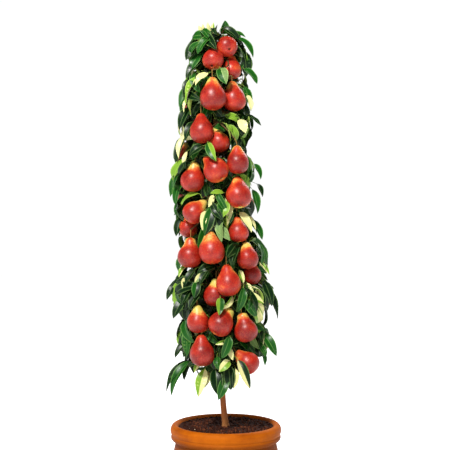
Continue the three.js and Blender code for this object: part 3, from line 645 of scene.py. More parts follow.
def are_apart(pear, other):
    ends = [each.centre + each.neck * each.radius * PEAR_SPINE[:, None] for each in (pear, other)]
    gaps = np.linalg.norm(ends[0][:, None] - ends[1], axis=-1)
    radii = pear_radius(PEAR_SPINE)
    return bool((gaps > radii[:, None] * pear.radius + radii * other.radius + PEAR_CLEARANCE).all())


def place_pears():
    """The pears of the table, and those that a rule places on the other sides of the crown."""
    pears = []
    for x, depth, z, radius, *neck in FRONT_PEARS:
        centre = np.array([x, -depth, z], float)
        opening = unit(np.array(CAMERA_AT) / MM - centre)
        pears.append(make_pear(centre, radius, unit(np.array(neck)), opening))
    draw = Draw(BACK_SEED)
    i = 0
    while len(pears) < len(FRONT_PEARS) + BACK_PEARS:
        i += 1
        azimuth = BACK_FROM + BACK_SWEEP * ((i * GOLDEN) % 1)
        z = draw.between(*BACK_HEIGHTS)
        radius = draw.between(*BACK_RADII)
        reach = crown_reach(z, azimuth) - radius - draw.between(*BACK_SETBACKS)
        centre = trunk_axis(z) + heading(azimuth) * reach
        neck = unit(heading(azimuth) * draw.between(*BACK_LEANS) + UP)
        pear = make_pear(centre, radius, neck, heading(azimuth))
        if all(are_apart(pear, other) for other in pears):
            pears.append(pear)
    for i, pear in enumerate(pears):
        pear.is_seen = i < len(FRONT_PEARS)
        pear.is_necked = i in NECKED or not pear.is_seen and i % 3 == 0
        pear.yellowness = YELLOW_NECKS.get(i, 0.25 + 0.5 * ((i * GOLDEN) % 1) ** 2)
    return pears


def ways_in(point):
    """The way across the ground from a point to the trunk, and the way across that."""
    way = trunk_axis(point[2]) - point
    way[2] = 0
    way = unit(way)
    return way, np.cross(way, UP)


def hang_pear(pear, spaces, pears):
    """Gives a pear the first stalk that ends inside a mass's space and says whether there is one."""
    inwards, sideways = ways_in(pear.top)
    others = stacked([other for other in pears if other is not pear])
    for (lean, slew), stretch in product(STALK_LEANS, STALK_STRETCHES):
        way = unit(unit(pear.neck + UP) + inwards * lean + sideways * slew)
        end = pear.top + way * STALK_LENGTH * stretch
        inside = [s for s in spaces if depth_in_space(end[None], s)[0] > SPACE_MARGIN + 2 * STALK_RADIUS]
        if not inside:
            continue
        line = mix(pear.top, end, STALK_CHECKS)
        if outside_pears(line, others).min() > STALK_RADIUS + SPACE_MARGIN:
            pear.stalk_top = end
            pear.space = inside[0]
            return True
    return False


# Limbs
def is_free(course, radius, fruit, space=None, outside=outside_pears):
    """Whether a line of points misses the fruit and keeps to a space, where one is given."""
    points = points_on(course, np.arange(1, FREE_STEPS + 1) / FREE_STEPS)
    if space is not None and depth_in_space(points, space).min() < SPACE_MARGIN + radius:
        return False
    return outside(points, fruit).min() >= radius + SPACE_MARGIN


def bough_knots(space, swing, rise):
    root = trunk_axis(space.bough_height)
    out = heading(space.azimuth + swing)
    reach = BOUGH_SHARE * crown_reach(space.bough_height, space.azimuth)
    return root, root + out * reach * 0.5 + UP * rise * 0.15, root + out * reach + UP * rise


def stem_knots(space, start, way, swing, rise):
    azimuth = space.azimuth + swing
    if space.is_top:
        end = start + heading(swing * 9) * TOP_STEM_REACH + UP * (TOP_STEM_RISE + rise)
    else:
        reach = STEM_SHARE * crown_reach(start[2], azimuth)
        end = point_about(azimuth, reach, start[2] + DROOP * reach + rise)
    return start + way * STEM_COLLAR, start + way * np.linalg.norm(end - start) * STEM_KNEE, end


def plan_limbs(space, fruit):
    """Gives a space the first of a few courses for its bough and stem that miss the fruit."""
    if space.is_top:
        root, tip = trunk_axis(TRUNK_TOP - 1), trunk_axis(TRUNK_TOP)
        boughs = [(root, mix(root, tip, 0.5), tip)]
    else:
        boughs = [bough_knots(space, *way) for way in product(BOUGH_SWINGS, BOUGH_RISES)]
    for knots in boughs:
        bough = bend(*knots, BOUGH_STEPS)
        if not space.is_top and not is_free(bough, BOUGH_RADIUS, fruit, outside=outside_fruit):
            continue
        way = unit(bough[-1] - bough[-2])
        start = bough[-1] + way * GAP
        for swing, rise in product(STEM_SWINGS, STEM_RISES):
            curve = stem_knots(space, start, way, swing, rise)
            stem = np.vstack([start, bend(*curve, STEM_STEPS)])
            if is_free(stem, STEM_RADIUS, fruit, space, outside_fruit):
                space.bough = bend(*knots, CURVE_STEPS)
                space.rough_stem = stem
                space.stem = np.vstack([start, bend(*curve, CURVE_STEPS)])
                return
    raise RuntimeError(f"no free course for the limbs of {space.name}")


def nearest_on(line, point):
    fine = points_on(line, np.linspace(0, 1, 60))
    return fine[np.linalg.norm(fine - point, axis=1).argmin()]


def spur_course(pear, fruit):
    """Leads a twig from the stem to a pear's stalk and says whether one fits.

    It takes the first course that fits; for the pears that are seen, the first that doesn't
    come further forward than the stalk, or the one that comes least forward."""
    inwards, sideways = ways_in(pear.stalk_top)
    least = math.inf
    for share, lift, tuck, slew in product(SPUR_ROOTS, SPUR_LIFTS, SPUR_TUCKS, SPUR_SLEWS):
        root = point_on(pear.space.rough_stem, share)
        knee = mix(root, pear.stalk_top, SPUR_KNEE) + UP * lift + inwards * tuck + sideways * slew
        spur = bend(root, knee, pear.stalk_top, SPUR_STEPS)
        if not is_free(spur, STALK_RADIUS, fruit, pear.space):
            continue
        ahead = ((spur - pear.stalk_top) @ TO_VIEWER).max() if pear.is_seen else 0
        if ahead < least:
            least = ahead
            pear.spur = bend(nearest_on(pear.space.stem, root), knee, pear.stalk_top, CURVE_STEPS)
        if ahead < SPUR_AHEAD:
            break
    return least < math.inf


def twig_knots(space, index, count, draw):
    """A leafy twig from the stem towards one part of the space."""
    root = point_on(space.stem, draw.between(*TWIG_ROOTS))
    turn = index % 2
    spread = (index + draw.between(*TWIG_PLACES)) / count
    if space.is_top:
        low, high, share = TOP_TARGETS[turn]
        z = TRUNK_TOP + draw.between(low, high)
        azimuth = 360 * spread
        target = trunk_axis(z) + heading(azimuth) * crown_reach(z, azimuth) * share
    else:
        azimuth = space.azimuth + SECTOR_HALF * (2 * spread - 1) * TWIG_FAN
        level = space.high - TIER_HEIGHT * (1 - draw.between(*TWIG_FILLS[turn]))
        target = point_about(azimuth, crown_reach(level, azimuth) * draw.between(*TWIG_REACHES), level)
    return root, mix(root, target, 0.5) + UP * np.linalg.norm(target - root) * TWIG_ARCH, target


def fine_twig_knots(parent, share, draw):
    """A short twig that leaves its parent to one side, forward and away from the trunk."""
    root = point_on(parent, share)
    way = unit(point_on(parent, share + 0.05) - root)
    side = unit(np.array([draw() - 0.5, draw() - 0.5, draw() - 0.35]))
    outwards = heading(about_trunk(root)[1])
    end = root + unit(way * 0.5 + side + outwards * 0.5) * draw.between(*FINE_LENGTHS)
    return root, mix(root, end, 0.5) + UP * draw.between(*FINE_ARCHES), end


def free_twig(space, fruit, steps, knots_of, *values):
    """A list with the first twig that is free, or an empty one after a few tries."""
    for _ in range(TWIG_TRIES):
        twig = bend(*knots_of(*values), steps)
        if is_free(twig, TWIG_TIP_RADIUS, fruit, space):
            return [twig]
    return []


def grow_twigs(space, fruit, draw):
    """The twigs of a mass and, with parent and share along it, the finer ones on those and its spurs."""
    count = TOP_TWIGS if space.is_top else TWIGS
    twigs, finer = [], []
    for i in range(count):
        twigs += free_twig(space, fruit, CURVE_STEPS, twig_knots, space, i, count, draw)
    for parent, share in product([*twigs, *space.spurs, space.stem], FINE_ROOTS):
        grown = free_twig(space, fruit, CURVE_STEPS // 2, fine_twig_knots, parent, share, draw)
        finer += [(twig, parent, share) for twig in grown]
    return twigs, finer


# Leaves
def blade_rows(base, way, facing, length, curl, twist, rows):
    """Middles, across and facing vectors down blades that bend away from their top side."""
    across = unit(np.cross(way, facing))
    face = np.cross(across, way)
    step = (length / rows)[:, None]
    curl_cos, curl_sin, twist_cos, twist_sin = (
        f(np.radians(angle) / rows)[:, None] for angle in (curl, twist) for f in (np.cos, np.sin))
    middles, acrosses, faces = [base], [across], [face]
    for _ in range(rows):
        middles.append(middles[-1] + way * step)
        way, face = way * curl_cos - face * curl_sin, face * curl_cos + way * curl_sin
        across, face = across * twist_cos + face * twist_sin, face * twist_cos - across * twist_sin
        acrosses.append(across)
        faces.append(face)
    return (np.stack(rows_of, 1) for rows_of in (middles, acrosses, faces))


def draw_leaves(joint, space, rng):
    """Several leaves that might grow at a joint, as arrays."""
    reach, azimuth, _ = about_trunk(joint)
    is_near = reach < LEAF_NEAR_TRUNK
    if is_near:
        azimuth = space.azimuth + rng.uniform(-LEAF_ANY_WAY, LEAF_ANY_WAY, LEAF_TRIES)
    drawn = {name: rng.uniform(*limits, LEAF_TRIES) for name, limits in LEAF_RANGES.items()}
    out = heading(azimuth + drawn["turn"])
    lift, dip = drawn["lift"], drawn["dip"]
    if space.is_top:
        lift, dip = lift + TOP_LIFT, dip - TOP_RAISE
    lift, dip = (np.radians(angle)[:, None] for angle in (lift, dip))
    stalk = out * np.cos(lift) + UP * np.sin(lift)
    outwards = out if is_near else heading(azimuth)
    roll = np.cross(UP, out) * drawn["roll"][:, None]
    return {
        "joint": np.tile(joint, (LEAF_TRIES, 1)),
        "base": joint + stalk * drawn["stalk"][:, None],
        "way": out * np.cos(dip) - UP * np.sin(dip),
        "facing": unit(outwards * LEAF_FACING[0] + UP * LEAF_FACING[1] + roll),
        "length": drawn["length"],
        "width": drawn["length"] * drawn["width"],
        "curl": drawn["curl"],
        "twist": drawn["twist"],
    }


def fitting_leaf(leaves, space, fruit, taken, setback):
    """A leaf that keeps to the crown and clear of trunk, fruit and others, with points on it, or None."""
    middles, acrosses, _ = blade_rows(*(leaves[name] for name in LEAF_SHAPE), CHECK_ROWS)
    inner = slice(1, CHECK_ROWS)
    half = leaves["width"][:, None, None] / 2
    edges = np.concatenate([middles[:, inner] + acrosses[:, inner] * half * side for side in CHECK_EDGES], 1)
    samples = np.concatenate([middles, edges], 1)
    flat = samples.reshape(-1, 3)
    reach, azimuth, _ = about_trunk(flat)
    good = depth_in_crown(flat, reach, azimuth) > CROWN_MARGIN + setback
    good &= depth_in_space(flat, space) > -SPACE_OVERLAP
    good &= reach > trunk_radius(flat[:, 2]) + TRUNK_MARGIN
    good &= reach < SKIRT_REACH + SKIRT_SLOPE * (flat[:, 2] - SKIRT_FOOT)
    good &= outside_pears(flat, fruit).min(1) > PEAR_MARGIN
    ahead = ((flat[:, None] - fruit.centre) * fruit.opening).sum(-1)
    level = flat[:, None] - ahead[..., None] * fruit.opening
    good &= ~((ahead > 0) & (outside_pears(level, fruit) < -SIGHT_COVER)).any(1)
    found = np.flatnonzero(good.reshape(samples.shape[:2]).all(1))
    if not setback:
        found = found[np.argsort(-about_trunk(middles[found, -1])[0])]
    for i in found:
        near = taken[np.abs(taken - middles[i, CHECK_ROWS // 2]).max(1) < LEAF_LONGEST]
        if nearest(near, middles[i, inner]) >= LEAF_SPACING and nearest(near, edges[i]) > EDGE_SPACING:
            return {name: values[i] for name, values in leaves.items()}, middles[i, inner]
    return None


def pick_tone(draw, depth_share, is_top):
    """A tone for a spray; the inner sprays are near black, painted shade."""
    if depth_share < PAINTED_SHADE_WITHIN:
        return "deep"
    if is_top and draw() < TOP_GREEN:
        return "green"
    at = draw()
    for tone, share in TONE_SHARES:
        if at < share:
            return tone
        at -= share
    return "green"


def grow_mass(space, pears, taken, sprigs, leaves):
    """Grows the finer twigs and leaves of one space; returns points on all leaves so far."""
    draw = Draw(space.seed)
    rng = np.random.default_rng(space.seed)
    middle = space.stem[0][2]
    fruit = stacked([pear for pear in pears if abs(pear.centre[2] - middle) < PEARS_WITHIN])
    twigs, finer = grow_twigs(space, fruit, draw)
    fine_lines = [line for line, _, _ in finer]
    limbs = [([space.stem], STEM_JOINTS), ([space.bough], BOUGH_JOINTS), (twigs, TWIG_JOINTS)]
    limbs += [(space.spurs, SPUR_JOINTS), (fine_lines, FINE_JOINTS)]
    leafed = {}
    for line, shares in ((line, shares) for lines, shares in limbs for line in lines):
        end = point_on(line, 1)
        reach, azimuth, _ = about_trunk(end)
        depth_share = reach / crown_reach(end[2], azimuth)
        tone = pick_tone(draw, depth_share, space.is_top)
        for share in shares:
            tried = draw_leaves(point_on(line, share), space, rng)
            setback = 0 if rng.uniform() < OUTERMOST else rng.uniform(*SETBACK)
            found = fitting_leaf(tried, space, fruit, taken, setback)
            if found is None:
                continue
            leaf, middles = found
            taken = np.vstack([taken, middles])
            is_kept = draw() < (PALE_KEPT if tone == "pale" else TONE_KEPT)
            leaf["tone"] = tone if is_kept else pick_tone(draw, depth_share, space.is_top)
            leaf["tier"] = space.tier
            leaves.append(leaf)
            leafed[id(line)] = max(leafed.get(id(line), 0), share)
    for line, parent, share in finer:
        if id(line) in leafed:
            leafed[id(parent)] = max(leafed.get(id(parent), 0), share)
    for lines, radii in (twigs, TWIG_RADII), (fine_lines, FINE_TWIG_RADII):
        for line in lines:
            if id(line) in leafed:
                bearing = points_on(line, np.linspace(0, leafed[id(line)], len(line)))
                sprigs.append((bearing, *radii, space.tier))
    return taken


def grow_inner(spaces, pears, taken, sprigs, leaves):
    """Leaves on short spurs all round the trunk; returns points on all leaves so far."""
    rng = np.random.default_rng(INNER_SEED)
    for i in range(INNER_SPURS):
        z = mix(*INNER_RANGE, (i + 0.5) / INNER_SPURS)
        out = heading(360 * GOLDEN * i)
        root = trunk_axis(z) + out * trunk_radius(z) * 0.8
        joint = root + out * rng.uniform(*INNER_REACH) + UP * rng.uniform(*INNER_RISE)
        line = bend(root, mix(root, joint, 0.5) + UP * INNER_ARCH, joint, CURVE_STEPS // 2)
        fruit = stacked([pear for pear in pears if abs(pear.centre[2] - z) < INNER_PEARS_WITHIN])
        if not is_free(line, TWIG_TIP_RADIUS, fruit):
            continue
        space = max(spaces, key=lambda each: depth_in_space(joint[None], each)[0])
        sprigs.append((line, *TWIG_RADII, space.tier))
        for _ in range(INNER_LEAVES):
            found = fitting_leaf(draw_leaves(joint, space, rng), space, fruit, taken, SETBACK[0])
            if found is not None:
                # Most inner leaves get the near-black tone, painted shade of the crown's inside
                tone = "green" if rng.uniform() < INNER_GREEN else "deep"
                leaves.append({**found[0], "tone": tone, "tier": space.tier})
                taken = np.vstack([taken, found[1]])
    return taken


def leaf_from_to(foot, tip, width):
    """A leaf's values from its foot and tip, without its stalk; it arches on the way."""
    straight = unit(tip - foot)
    rng = np.random.default_rng(int(foot[0] * 31 + foot[2] * 7) % 9973)
    outwards, forwards, upwards = SEEN_FACING
    facing = heading(about_trunk(foot)[1]) * outwards + TO_VIEWER * forwards + UP * upwards
    facing = facing + np.cross(straight, UP) * rng.uniform(-SEEN_ROLL, SEEN_ROLL)
    face = unit(facing - (facing * straight).sum() * straight)
    curl = rng.uniform(*SEEN_CURLS)
    half = math.radians(curl / 2)
    return {
        "base": foot,
        "way": straight * math.cos(half) + face * math.sin(half),
        "facing": face,
        "length": np.linalg.norm(tip - foot) * half / math.sin(half),
        "width": float(width),
        "curl": curl,
        "twist": rng.uniform(-SEEN_TWIST, SEEN_TWIST),
    }


def as_seen(x, z, depth):
    """The point at a depth towards the viewer that is seen at a place against the trunk."""
    eye = np.array(CAMERA_AT) / MM
    return eye + (np.array([x, 0.0, z]) - eye) * (1 + depth / eye[1])


def seen_course(foot, leaf, wood, fruit):
    """The course and tier of a sprig from the nearest wood to a leaf's stalk, or None."""
    inwards, sideways = ways_in(foot)
    for tuck in SEEN_TUCKS:
        joint = foot - leaf["way"] * SEEN_STALK + inwards * tuck
        stalk = bend(joint, foot - leaf["way"] * SEEN_KNEE, foot, CURVE_STEPS // 2)
        if not is_free(stalk, TWIG_TIP_RADIUS, fruit):
            continue
        roots = wood[np.linalg.norm(wood[:, :3] - joint, axis=1).argsort()[:SEEN_ROOTS]]
        for root, slew in product(roots, SEEN_SLEWS):
            knee = mix(root[:3], joint, 0.5) + inwards * SEEN_BACK + sideways * slew
            line = bend(root[:3], knee, joint, CURVE_STEPS)
            if is_free(line, TWIG_TIP_RADIUS, fruit):
                return line, int(root[3])
    return None


def grow_seen_leaves(spaces, fruit, sprigs, leaves):
    """The leaves that stand out, each on a sprig from wood that it can reach; returns points on them."""
    taken = [np.zeros(3)]
    lines = [(line[2:], space.tier) for space in spaces for line in [space.stem, space.bough, *space.spurs]]
    lines += [(trunk_axis(np.linspace(space.low, space.high, 9)), space.tier) for space in spaces[:-1]]
    wood = np.array([[*point, tier] for line, tier in lines for point in line])
    for *foot, tip_x, tip_z, tip_depth, width, tone in SEEN_LEAVES:
        foot, tip = as_seen(*foot), as_seen(tip_x, tip_z, tip_depth)
        leaf = leaf_from_to(foot, tip, width)
        found = seen_course(foot, leaf, wood, fruit)
        if found is None:
            continue
        line, tier = found
        sprigs.append((line, *TWIG_RADII, tier))
        leaves.append({**leaf, "joint": line[-1], "tone": tone, "tier": tier})
        across = unit(np.cross(leaf["way"], leaf["facing"])) * width
        for share, side in product((0.2, 0.4, 0.6, 0.8), (-0.3, 0, 0.3)):
            taken.append(mix(foot, tip, share) + across * side)
    return np.array(taken)


# Meshes
def add_object(name, data):
    made = bpy.data.objects.new(name, data)
    bpy.context.scene.collection.objects.link(made)
    return made


class Piece:
    """Collects the points and faces of one joined mesh."""

    def __init__(self, name, materials):
        self.name = name
        self.materials = materials
        self.points = []
        self.corners = []
        self.sizes = []
        self.slots = []
        self.count = 0

    def add(self, points, faces, slot):
        """Adds points and a list of face arrays; slot is one number or one for each face."""
        points = np.asarray(points, float).reshape(-1, 3)
        for each in faces if isinstance(faces, list) else [faces]:
            self.corners.append((each + self.count).ravel())
            self.sizes.append(np.full(len(each), each.shape[1]))
            self.slots.append(np.broadcast_to(slot, len(each)))
        self.points.append(points)
        self.count += len(points)

    def build(self, sharp=None):
        """Makes the object; sharp marks the points whose shared edges are creases."""
        mesh = bpy.data.meshes.new(self.name)
        corners = np.concatenate(self.corners)
        sizes = np.concatenate(self.sizes)
        mesh.vertices.add(self.count)
        mesh.loops.add(len(corners))
        mesh.polygons.add(len(sizes))
        mesh.vertices.foreach_set("co", (np.concatenate(self.points) * MM).ravel())
        mesh.loops.foreach_set("vertex_index", corners)
        mesh.polygons.foreach_set("loop_start", np.concatenate([[0], np.cumsum(sizes)[:-1]]))
        mesh.polygons.foreach_set("material_index", np.concatenate(self.slots))
        mesh.update(calc_edges=True)
        mesh.validate()
        for material in self.materials:
            mesh.materials.append(material)
        mesh.shade_smooth()
        if sharp is not None:
            ends = np.zeros(len(mesh.edges) * 2, int)
            mesh.edges.foreach_get("vertices", ends)
            creases = sharp[ends.reshape(-1, 2)].all(1)
            mesh.attributes.new("sharp_edge", "BOOLEAN", "EDGE").data.foreach_set("value", creases)
        return add_object(self.name, mesh)


def angles_round(sides):
    return 2 * math.pi * np.arange(sides) / sides


def quads_of(ids):
    """Quads over a grid of point numbers."""
    return np.stack([ids[:-1, :-1], ids[:-1, 1:], ids[1:, 1:], ids[1:, :-1]], -1).reshape(-1, 4)


def ring_quads(rings, sides):
    """Quads over rings of points, whose last column joins the first."""
    ids = np.arange(rings * sides).reshape(rings, sides)
    return quads_of(np.hstack([ids, ids[:, :1]]))


def add_tubes(piece, paths, radii, sides, slot):
    """Adds tubes with flat ends along many paths of as many points each."""
    paths = np.asarray(paths, float)
    count, steps, _ = paths.shape
    ways = unit(np.concatenate([
        paths[:, 1:2] - paths[:, :1], paths[:, 2:] - paths[:, :-2], paths[:, -1:] - paths[:, -2:-1],
    ], 1))
    side = np.tile([0.6, 0.48, 0.64], (count, 1))
    angles = angles_round(sides)
    rings = []
    for i in range(steps):
        side = unit(side - (side * ways[:, i]).sum(-1, keepdims=True) * ways[:, i])
        other = np.cross(ways[:, i], side)
        spokes = side[:, None] * np.cos(angles)[:, None] + other[:, None] * np.sin(angles)[:, None]
        radius = np.broadcast_to(radii, (count, steps))[:, i]
        rings.append(paths[:, i, None] + spokes * radius[:, None, None])
    starts = np.arange(count)[:, None, None] * steps * sides
    first = np.arange(sides)[None, ::-1]
    ends = np.stack([first, first[:, ::-1] + (steps - 1) * sides], 1)
    faces = [(ring_quads(steps, sides) + starts).reshape(-1, 4), (ends + starts).reshape(-1, sides)]
    piece.add(np.stack(rings, 1), faces, slot)


def add_limbs(piece, lines, radii, sides, uneven, rng):
    """Adds tubes along lines, with their radii from root to tip and a little unevenness."""
    shares = np.linspace(0, 1, len(radii))
    paths = [points_on(line, shares) for line in lines]
    add_tubes(piece, paths, radii[None] + rng.uniform(*uneven, (len(lines), len(radii))), sides, 0)


def leaf_grid():
    """Faces of one blade's top side and underside, which share the rim, and the rim's marks."""
    rows, columns = LEAF_ROWS + 1, len(LEAF_COLUMNS)
    top = np.arange(rows * columns).reshape(rows, columns)
    under = top.copy()
    inner = (rows - 2) * (columns - 2)
    under[1:-1, 1:-1] = rows * columns + np.arange(inner).reshape(rows - 2, columns - 2)
    rim = np.ones(rows * columns + inner, bool)
    rim[top[1:-1, 1:-1]] = False
    rim[under[1:-1, 1:-1]] = False
    return quads_of(top), quads_of(under)[:, ::-1], rim


def leaf_points(leaves):
    """Points of many blades: the grid of the top side, then the inside of the underside."""
    shape = (np.array([leaf[name] for leaf in leaves]) for name in LEAF_SHAPE)
    middles, acrosses, faces = blade_rows(*shape, LEAF_ROWS)
    width = np.array([leaf["width"] for leaf in leaves])
    u = np.linspace(0, 1, LEAF_ROWS + 1)
    half = np.interp(u, *np.array(LEAF_OUTLINE).T)[None, :, None] * width[:, None, None] / 2
    v = LEAF_COLUMNS[None, None]
    rng = np.random.default_rng(BLADE_SEED)
    fold, wave, phase = (rng.uniform(*limits, len(leaves))[:, None, None] for limits in BLADE_RANGES)
    side = half * v * np.cos(np.radians(fold))
    lift = half * np.abs(v) * np.sin(np.radians(fold))
    lift = lift + wave * np.sin(u[None, :, None] * 9 + phase + (v > 0) * 2) * v**2 * np.minimum(half / 8, 1)
    body = LEAF_THICKNESS / 2 * (1 - v**2) * np.minimum(half / 4, 1)

    def at(offset):
        outwards = faces[:, :, None] * (lift + offset)[..., None]
        return middles[:, :, None] + acrosses[:, :, None] * side[..., None] + outwards

    top = at(body).reshape(len(leaves), -1, 3)
    under = at(-body)[:, 1:-1, 1:-1].reshape(len(leaves), -1, 3)
    return np.concatenate([top, under], 1)


def make_leaves(group, leaves, looks):
    """One joined piece of blades; looks gives each tone its top, rib and underside materials; the rib
    material also paints rim light on the edges.
    """
    tones = list(TONES)
    piece = Piece(f"leaves_{group}", [look for tone in tones for look in looks[tone]])
    top, under, rim = leaf_grid()
    points = leaf_points(leaves)
    columns = len(LEAF_COLUMNS) - 1
    column = np.arange(len(top)) % columns
    # The middle column is the rib; the two edge columns take its paler colour as painted rim light
    is_rib_or_painted_rim = np.isin(column, [0, columns // 2, columns - 1])
    slots = np.concatenate([np.where(is_rib_or_painted_rim, 1, 0), np.full(len(under), 2)])
    is_second = np.tile(column > columns // 2, 2)
    starts = (np.arange(len(leaves)) * points.shape[1])[:, None, None]
    faces = (np.concatenate([top, under]) + starts).reshape(-1, 4)
    # A tone of two names gives the halves painted light and shade: one half lit, the other shaded
    lit_and_shaded_halves = [leaf["tone"].split("-") for leaf in leaves]
    first, second = (np.array([tones.index(half[i]) * 3 for half in lit_and_shaded_halves])[:, None] for i in (0, -1))
    piece.add(points, faces, (slots + np.where(is_second, second, first)).ravel())
    return piece.build(np.tile(rim, len(leaves)))


# Materials
def linear(colour):
    """Scene-linear colour from red, green and blue out of 255."""
    share = np.array(colour, float) / 255
    low = share / 12.92
    high = ((share + 0.055) / 1.055) ** 2.4
    return (*np.where(share <= 0.04045, low, high), 1.0)


class Nodes:
    """The nodes of a material or world; what adds a node returns its output."""

    def __init__(self, owner, root):
        owner.use_nodes = True
        self.tree = owner.node_tree
        self.root = self.tree.nodes[root]

    def feed(self, target, value):
        if isinstance(value, bpy.types.NodeSocket):
            self.tree.links.new(value, target)
        else:
            target.default_value = value

    def set(self, **sockets):
        """Sets or links sockets of the node at the end."""
        for name, value in sockets.items():
            self.feed(self.root.inputs[name.replace("_", " ")], value)

    def add(self, kind, output, inputs=None, **settings):
        node = self.tree.nodes.new("ShaderNode" + kind)
        for name, value in settings.items():
            setattr(node, name, value)
        for name, value in (inputs or {}).items():
            self.feed(node.inputs[name], value)
        return node.outputs[output]

    def spread(self, value, low, high, to_low=0.0, to_high=1.0, **settings):
        """Maps the range from low to high onto another, and stays within that."""
        inputs = {"Value": value, "From Min": low, "From Max": high, "To Min": to_low, "To Max": to_high}
        return self.add("MapRange", "Result", inputs, **settings)

    def combine(self, operation, a, b, use_clamp=False):
        return self.add("Math", "Value", {0: a, 1: b}, operation=operation, use_clamp=use_clamp)


class Look(Nodes):
    """A material with its Principled shader."""

    def __init__(self, name, roughness, **sockets):
        self.material = bpy.data.materials.new(name)
        super().__init__(self.material, "Principled BSDF")
        self.set(Roughness=roughness, **sockets)
        self.where = self.add("TexCoord", "Object")

    def height(self):
        return self.add("SeparateXYZ", "Z", {"Vector": self.where})

    def noise(self, scale, detail, roughness=0.5, stretch=None):
        where = self.where
        if stretch is not None:
            where = self.add("Mapping", "Vector", {"Vector": where, "Scale": stretch})
        inputs = {"Vector": where, "Scale": scale, "Detail": detail, "Roughness": roughness}
        return self.add("TexNoise", "Fac", inputs)

    def blend(self, factor, a, b):
        return self.add("Mix", "Result", {"Factor": factor, "A": a, "B": b}, data_type="RGBA")

    def ramp(self, factor, stops):
        """A colour ramp with stops of position and colour out of 255."""
        output = self.add("ValToRGB", "Color", {"Fac": factor})
        elements = output.node.color_ramp.elements
        while len(elements) < len(stops):
            elements.new(0.5)
        for element, (position, colour) in zip(elements, stops):
            element.position = position
            element.color = linear(colour)
        return output

    def roughen(self, value, low, high):
        """Roughness from low to high by a noise."""
        self.set(Roughness=self.spread(value, 0.3, 0.7, low, high))

    def relief(self, height, strength, distance):
        inputs = {"Height": height, "Strength": strength, "Distance": distance}
        self.set(Normal=self.add("Bump", "Normal", inputs))

    def grain(self, scale, low, high, strength, distance):
        """Roughness and relief from fine noise."""
        noise = self.noise(scale, 4.0, 0.6)
        self.roughen(noise, low, high)
        self.relief(noise, strength, distance)


def leaf_material(name, colour, low, high):
    look = Look(name, low, Base_Color=linear(colour), Specular_IOR_Level=0.18)
    look.grain(260, low, high, 0.35, 0.0004)
    return look.material


def leaf_looks():
    """Each tone's materials of top side, rib with painted rim light on the blade's edges, and underside."""
    looks = {}
    for tone, (top, under) in TONES.items():
        rib_and_painted_rim = tuple(mix(a, b, RIB_AND_PAINTED_RIM_SHARE) for a, b in zip(top, RIB_AND_PAINTED_RIM))
        looks[tone] = (
            leaf_material(f"leaf_{tone}", top, 0.24, 0.42),
            leaf_material(f"leaf_{tone}_rib", rib_and_painted_rim, 0.34, 0.5),
            leaf_material(f"leaf_{tone}_under", under, 0.5, 0.7),
        )
    return looks


def pear_material():
    """Red blush over a yellow ground, from the blush that each point of the mesh holds."""
    look = Look("pear_skin", 0.4, Specular_IOR_Level=0.2, Coat_Weight=0.28, Coat_Roughness=0.34)
    mottle = look.noise(150.0, 5.0, 0.65)
    shift = look.spread(mottle, 0.3, 0.7, -0.13, 0.13)
    blush = look.combine("ADD", look.add("Attribute", "Fac", attribute_name="blush"), shift, use_clamp=True)
    dots = look.add("TexVoronoi", "Distance", {"Vector": look.where, "Scale": 420.0})
    skin = look.ramp(blush, PEAR_SKIN)
    look.set(Base_Color=look.blend(look.spread(dots, 0.12, 0.22, 0.55, 0.0), skin, linear(PEAR_DOTS)))
    look.roughen(mottle, 0.36, 0.5)
    look.relief(dots, 0.12, 0.0003)
    return look.material


def terracotta_material():
    """Mottled clay with faint turning rings and dark grit, with painted shadow under the rim."""
    look = Look("terracotta_clay", 0.6, Specular_IOR_Level=0.06)
    mottle = look.noise(16.0, 6.0, 0.6)
    bands = look.noise(3.0, 3.0, stretch=(2.0, 2.0, 60.0))
    both = look.combine("ADD", mottle, look.combine("MULTIPLY", bands, 0.45))
    clay = look.ramp(look.spread(both, 0.42, 1.02), CLAY)
    grit = look.noise(700.0, 2.0)
    spotted = look.blend(look.spread(grit, 0.62, 0.72, to_high=0.45), clay, linear(CLAY_GRIT))
    # Painted shadow: darker below the upper rim roll, where the roll shades the clay
    rim_shadow = look.spread(look.height(), 0.272, 0.258, to_high=0.62)
    look.set(Base_Color=look.blend(rim_shadow, spotted, linear(CLAY_RIM_SHADOW)))
    look.roughen(mottle, 0.45, 0.68)
    look.relief(look.combine("ADD", grit, bands), 0.3, 0.0008)
    return look.material


def bark_material(name, tan, brown, tan_until):
    """Bark that is tan up to a height, in metres, and reddish brown above."""
    look = Look(name, 0.7, Specular_IOR_Level=0.2)
    fibre = look.noise(420.0, 5.0, 0.7, stretch=(1.0, 1.0, 0.25))
    level = look.combine("ADD", look.height(), look.combine("MULTIPLY", fibre, 0.03))
    share = look.spread(level, tan_until - 0.012, tan_until + 0.03)
    base = look.blend(share, linear(tan), linear(brown))
    streak = look.spread(fibre, 0.35, 0.75, to_high=0.55)
    look.set(Base_Color=look.blend(streak, base, linear(tuple(0.55 * c for c in brown))))
    look.relief(fibre, 0.5, 0.0006)
    return look.material


def grainy_material(name, colour, roughness, scale=300, strength=0.5):
    look = Look(name, roughness, Base_Color=linear(colour), Specular_IOR_Level=0.12)
    look.grain(scale, roughness - 0.12, min(roughness + 0.12, 1), strength, 0.0008)
    return look.material


# Pot and soil
def smooth_run(points, steps):
    """A Catmull-Rom curve through points, without its last point."""
    points = np.array(points, float)
    padded = np.vstack([2 * points[0] - points[1], points, 2 * points[-1] - points[-2]])
    made = []
    for i in range(len(points) - 1):
        a, b, c, d = padded[i:i + 4]
        square, cube = 2 * a - 5 * b + 4 * c - d, 3 * b - a - 3 * c + d
        made += [0.5 * (2 * b + (c - a) * t + square * t**2 + cube * t**3) for t in np.arange(steps) / steps]
    return made


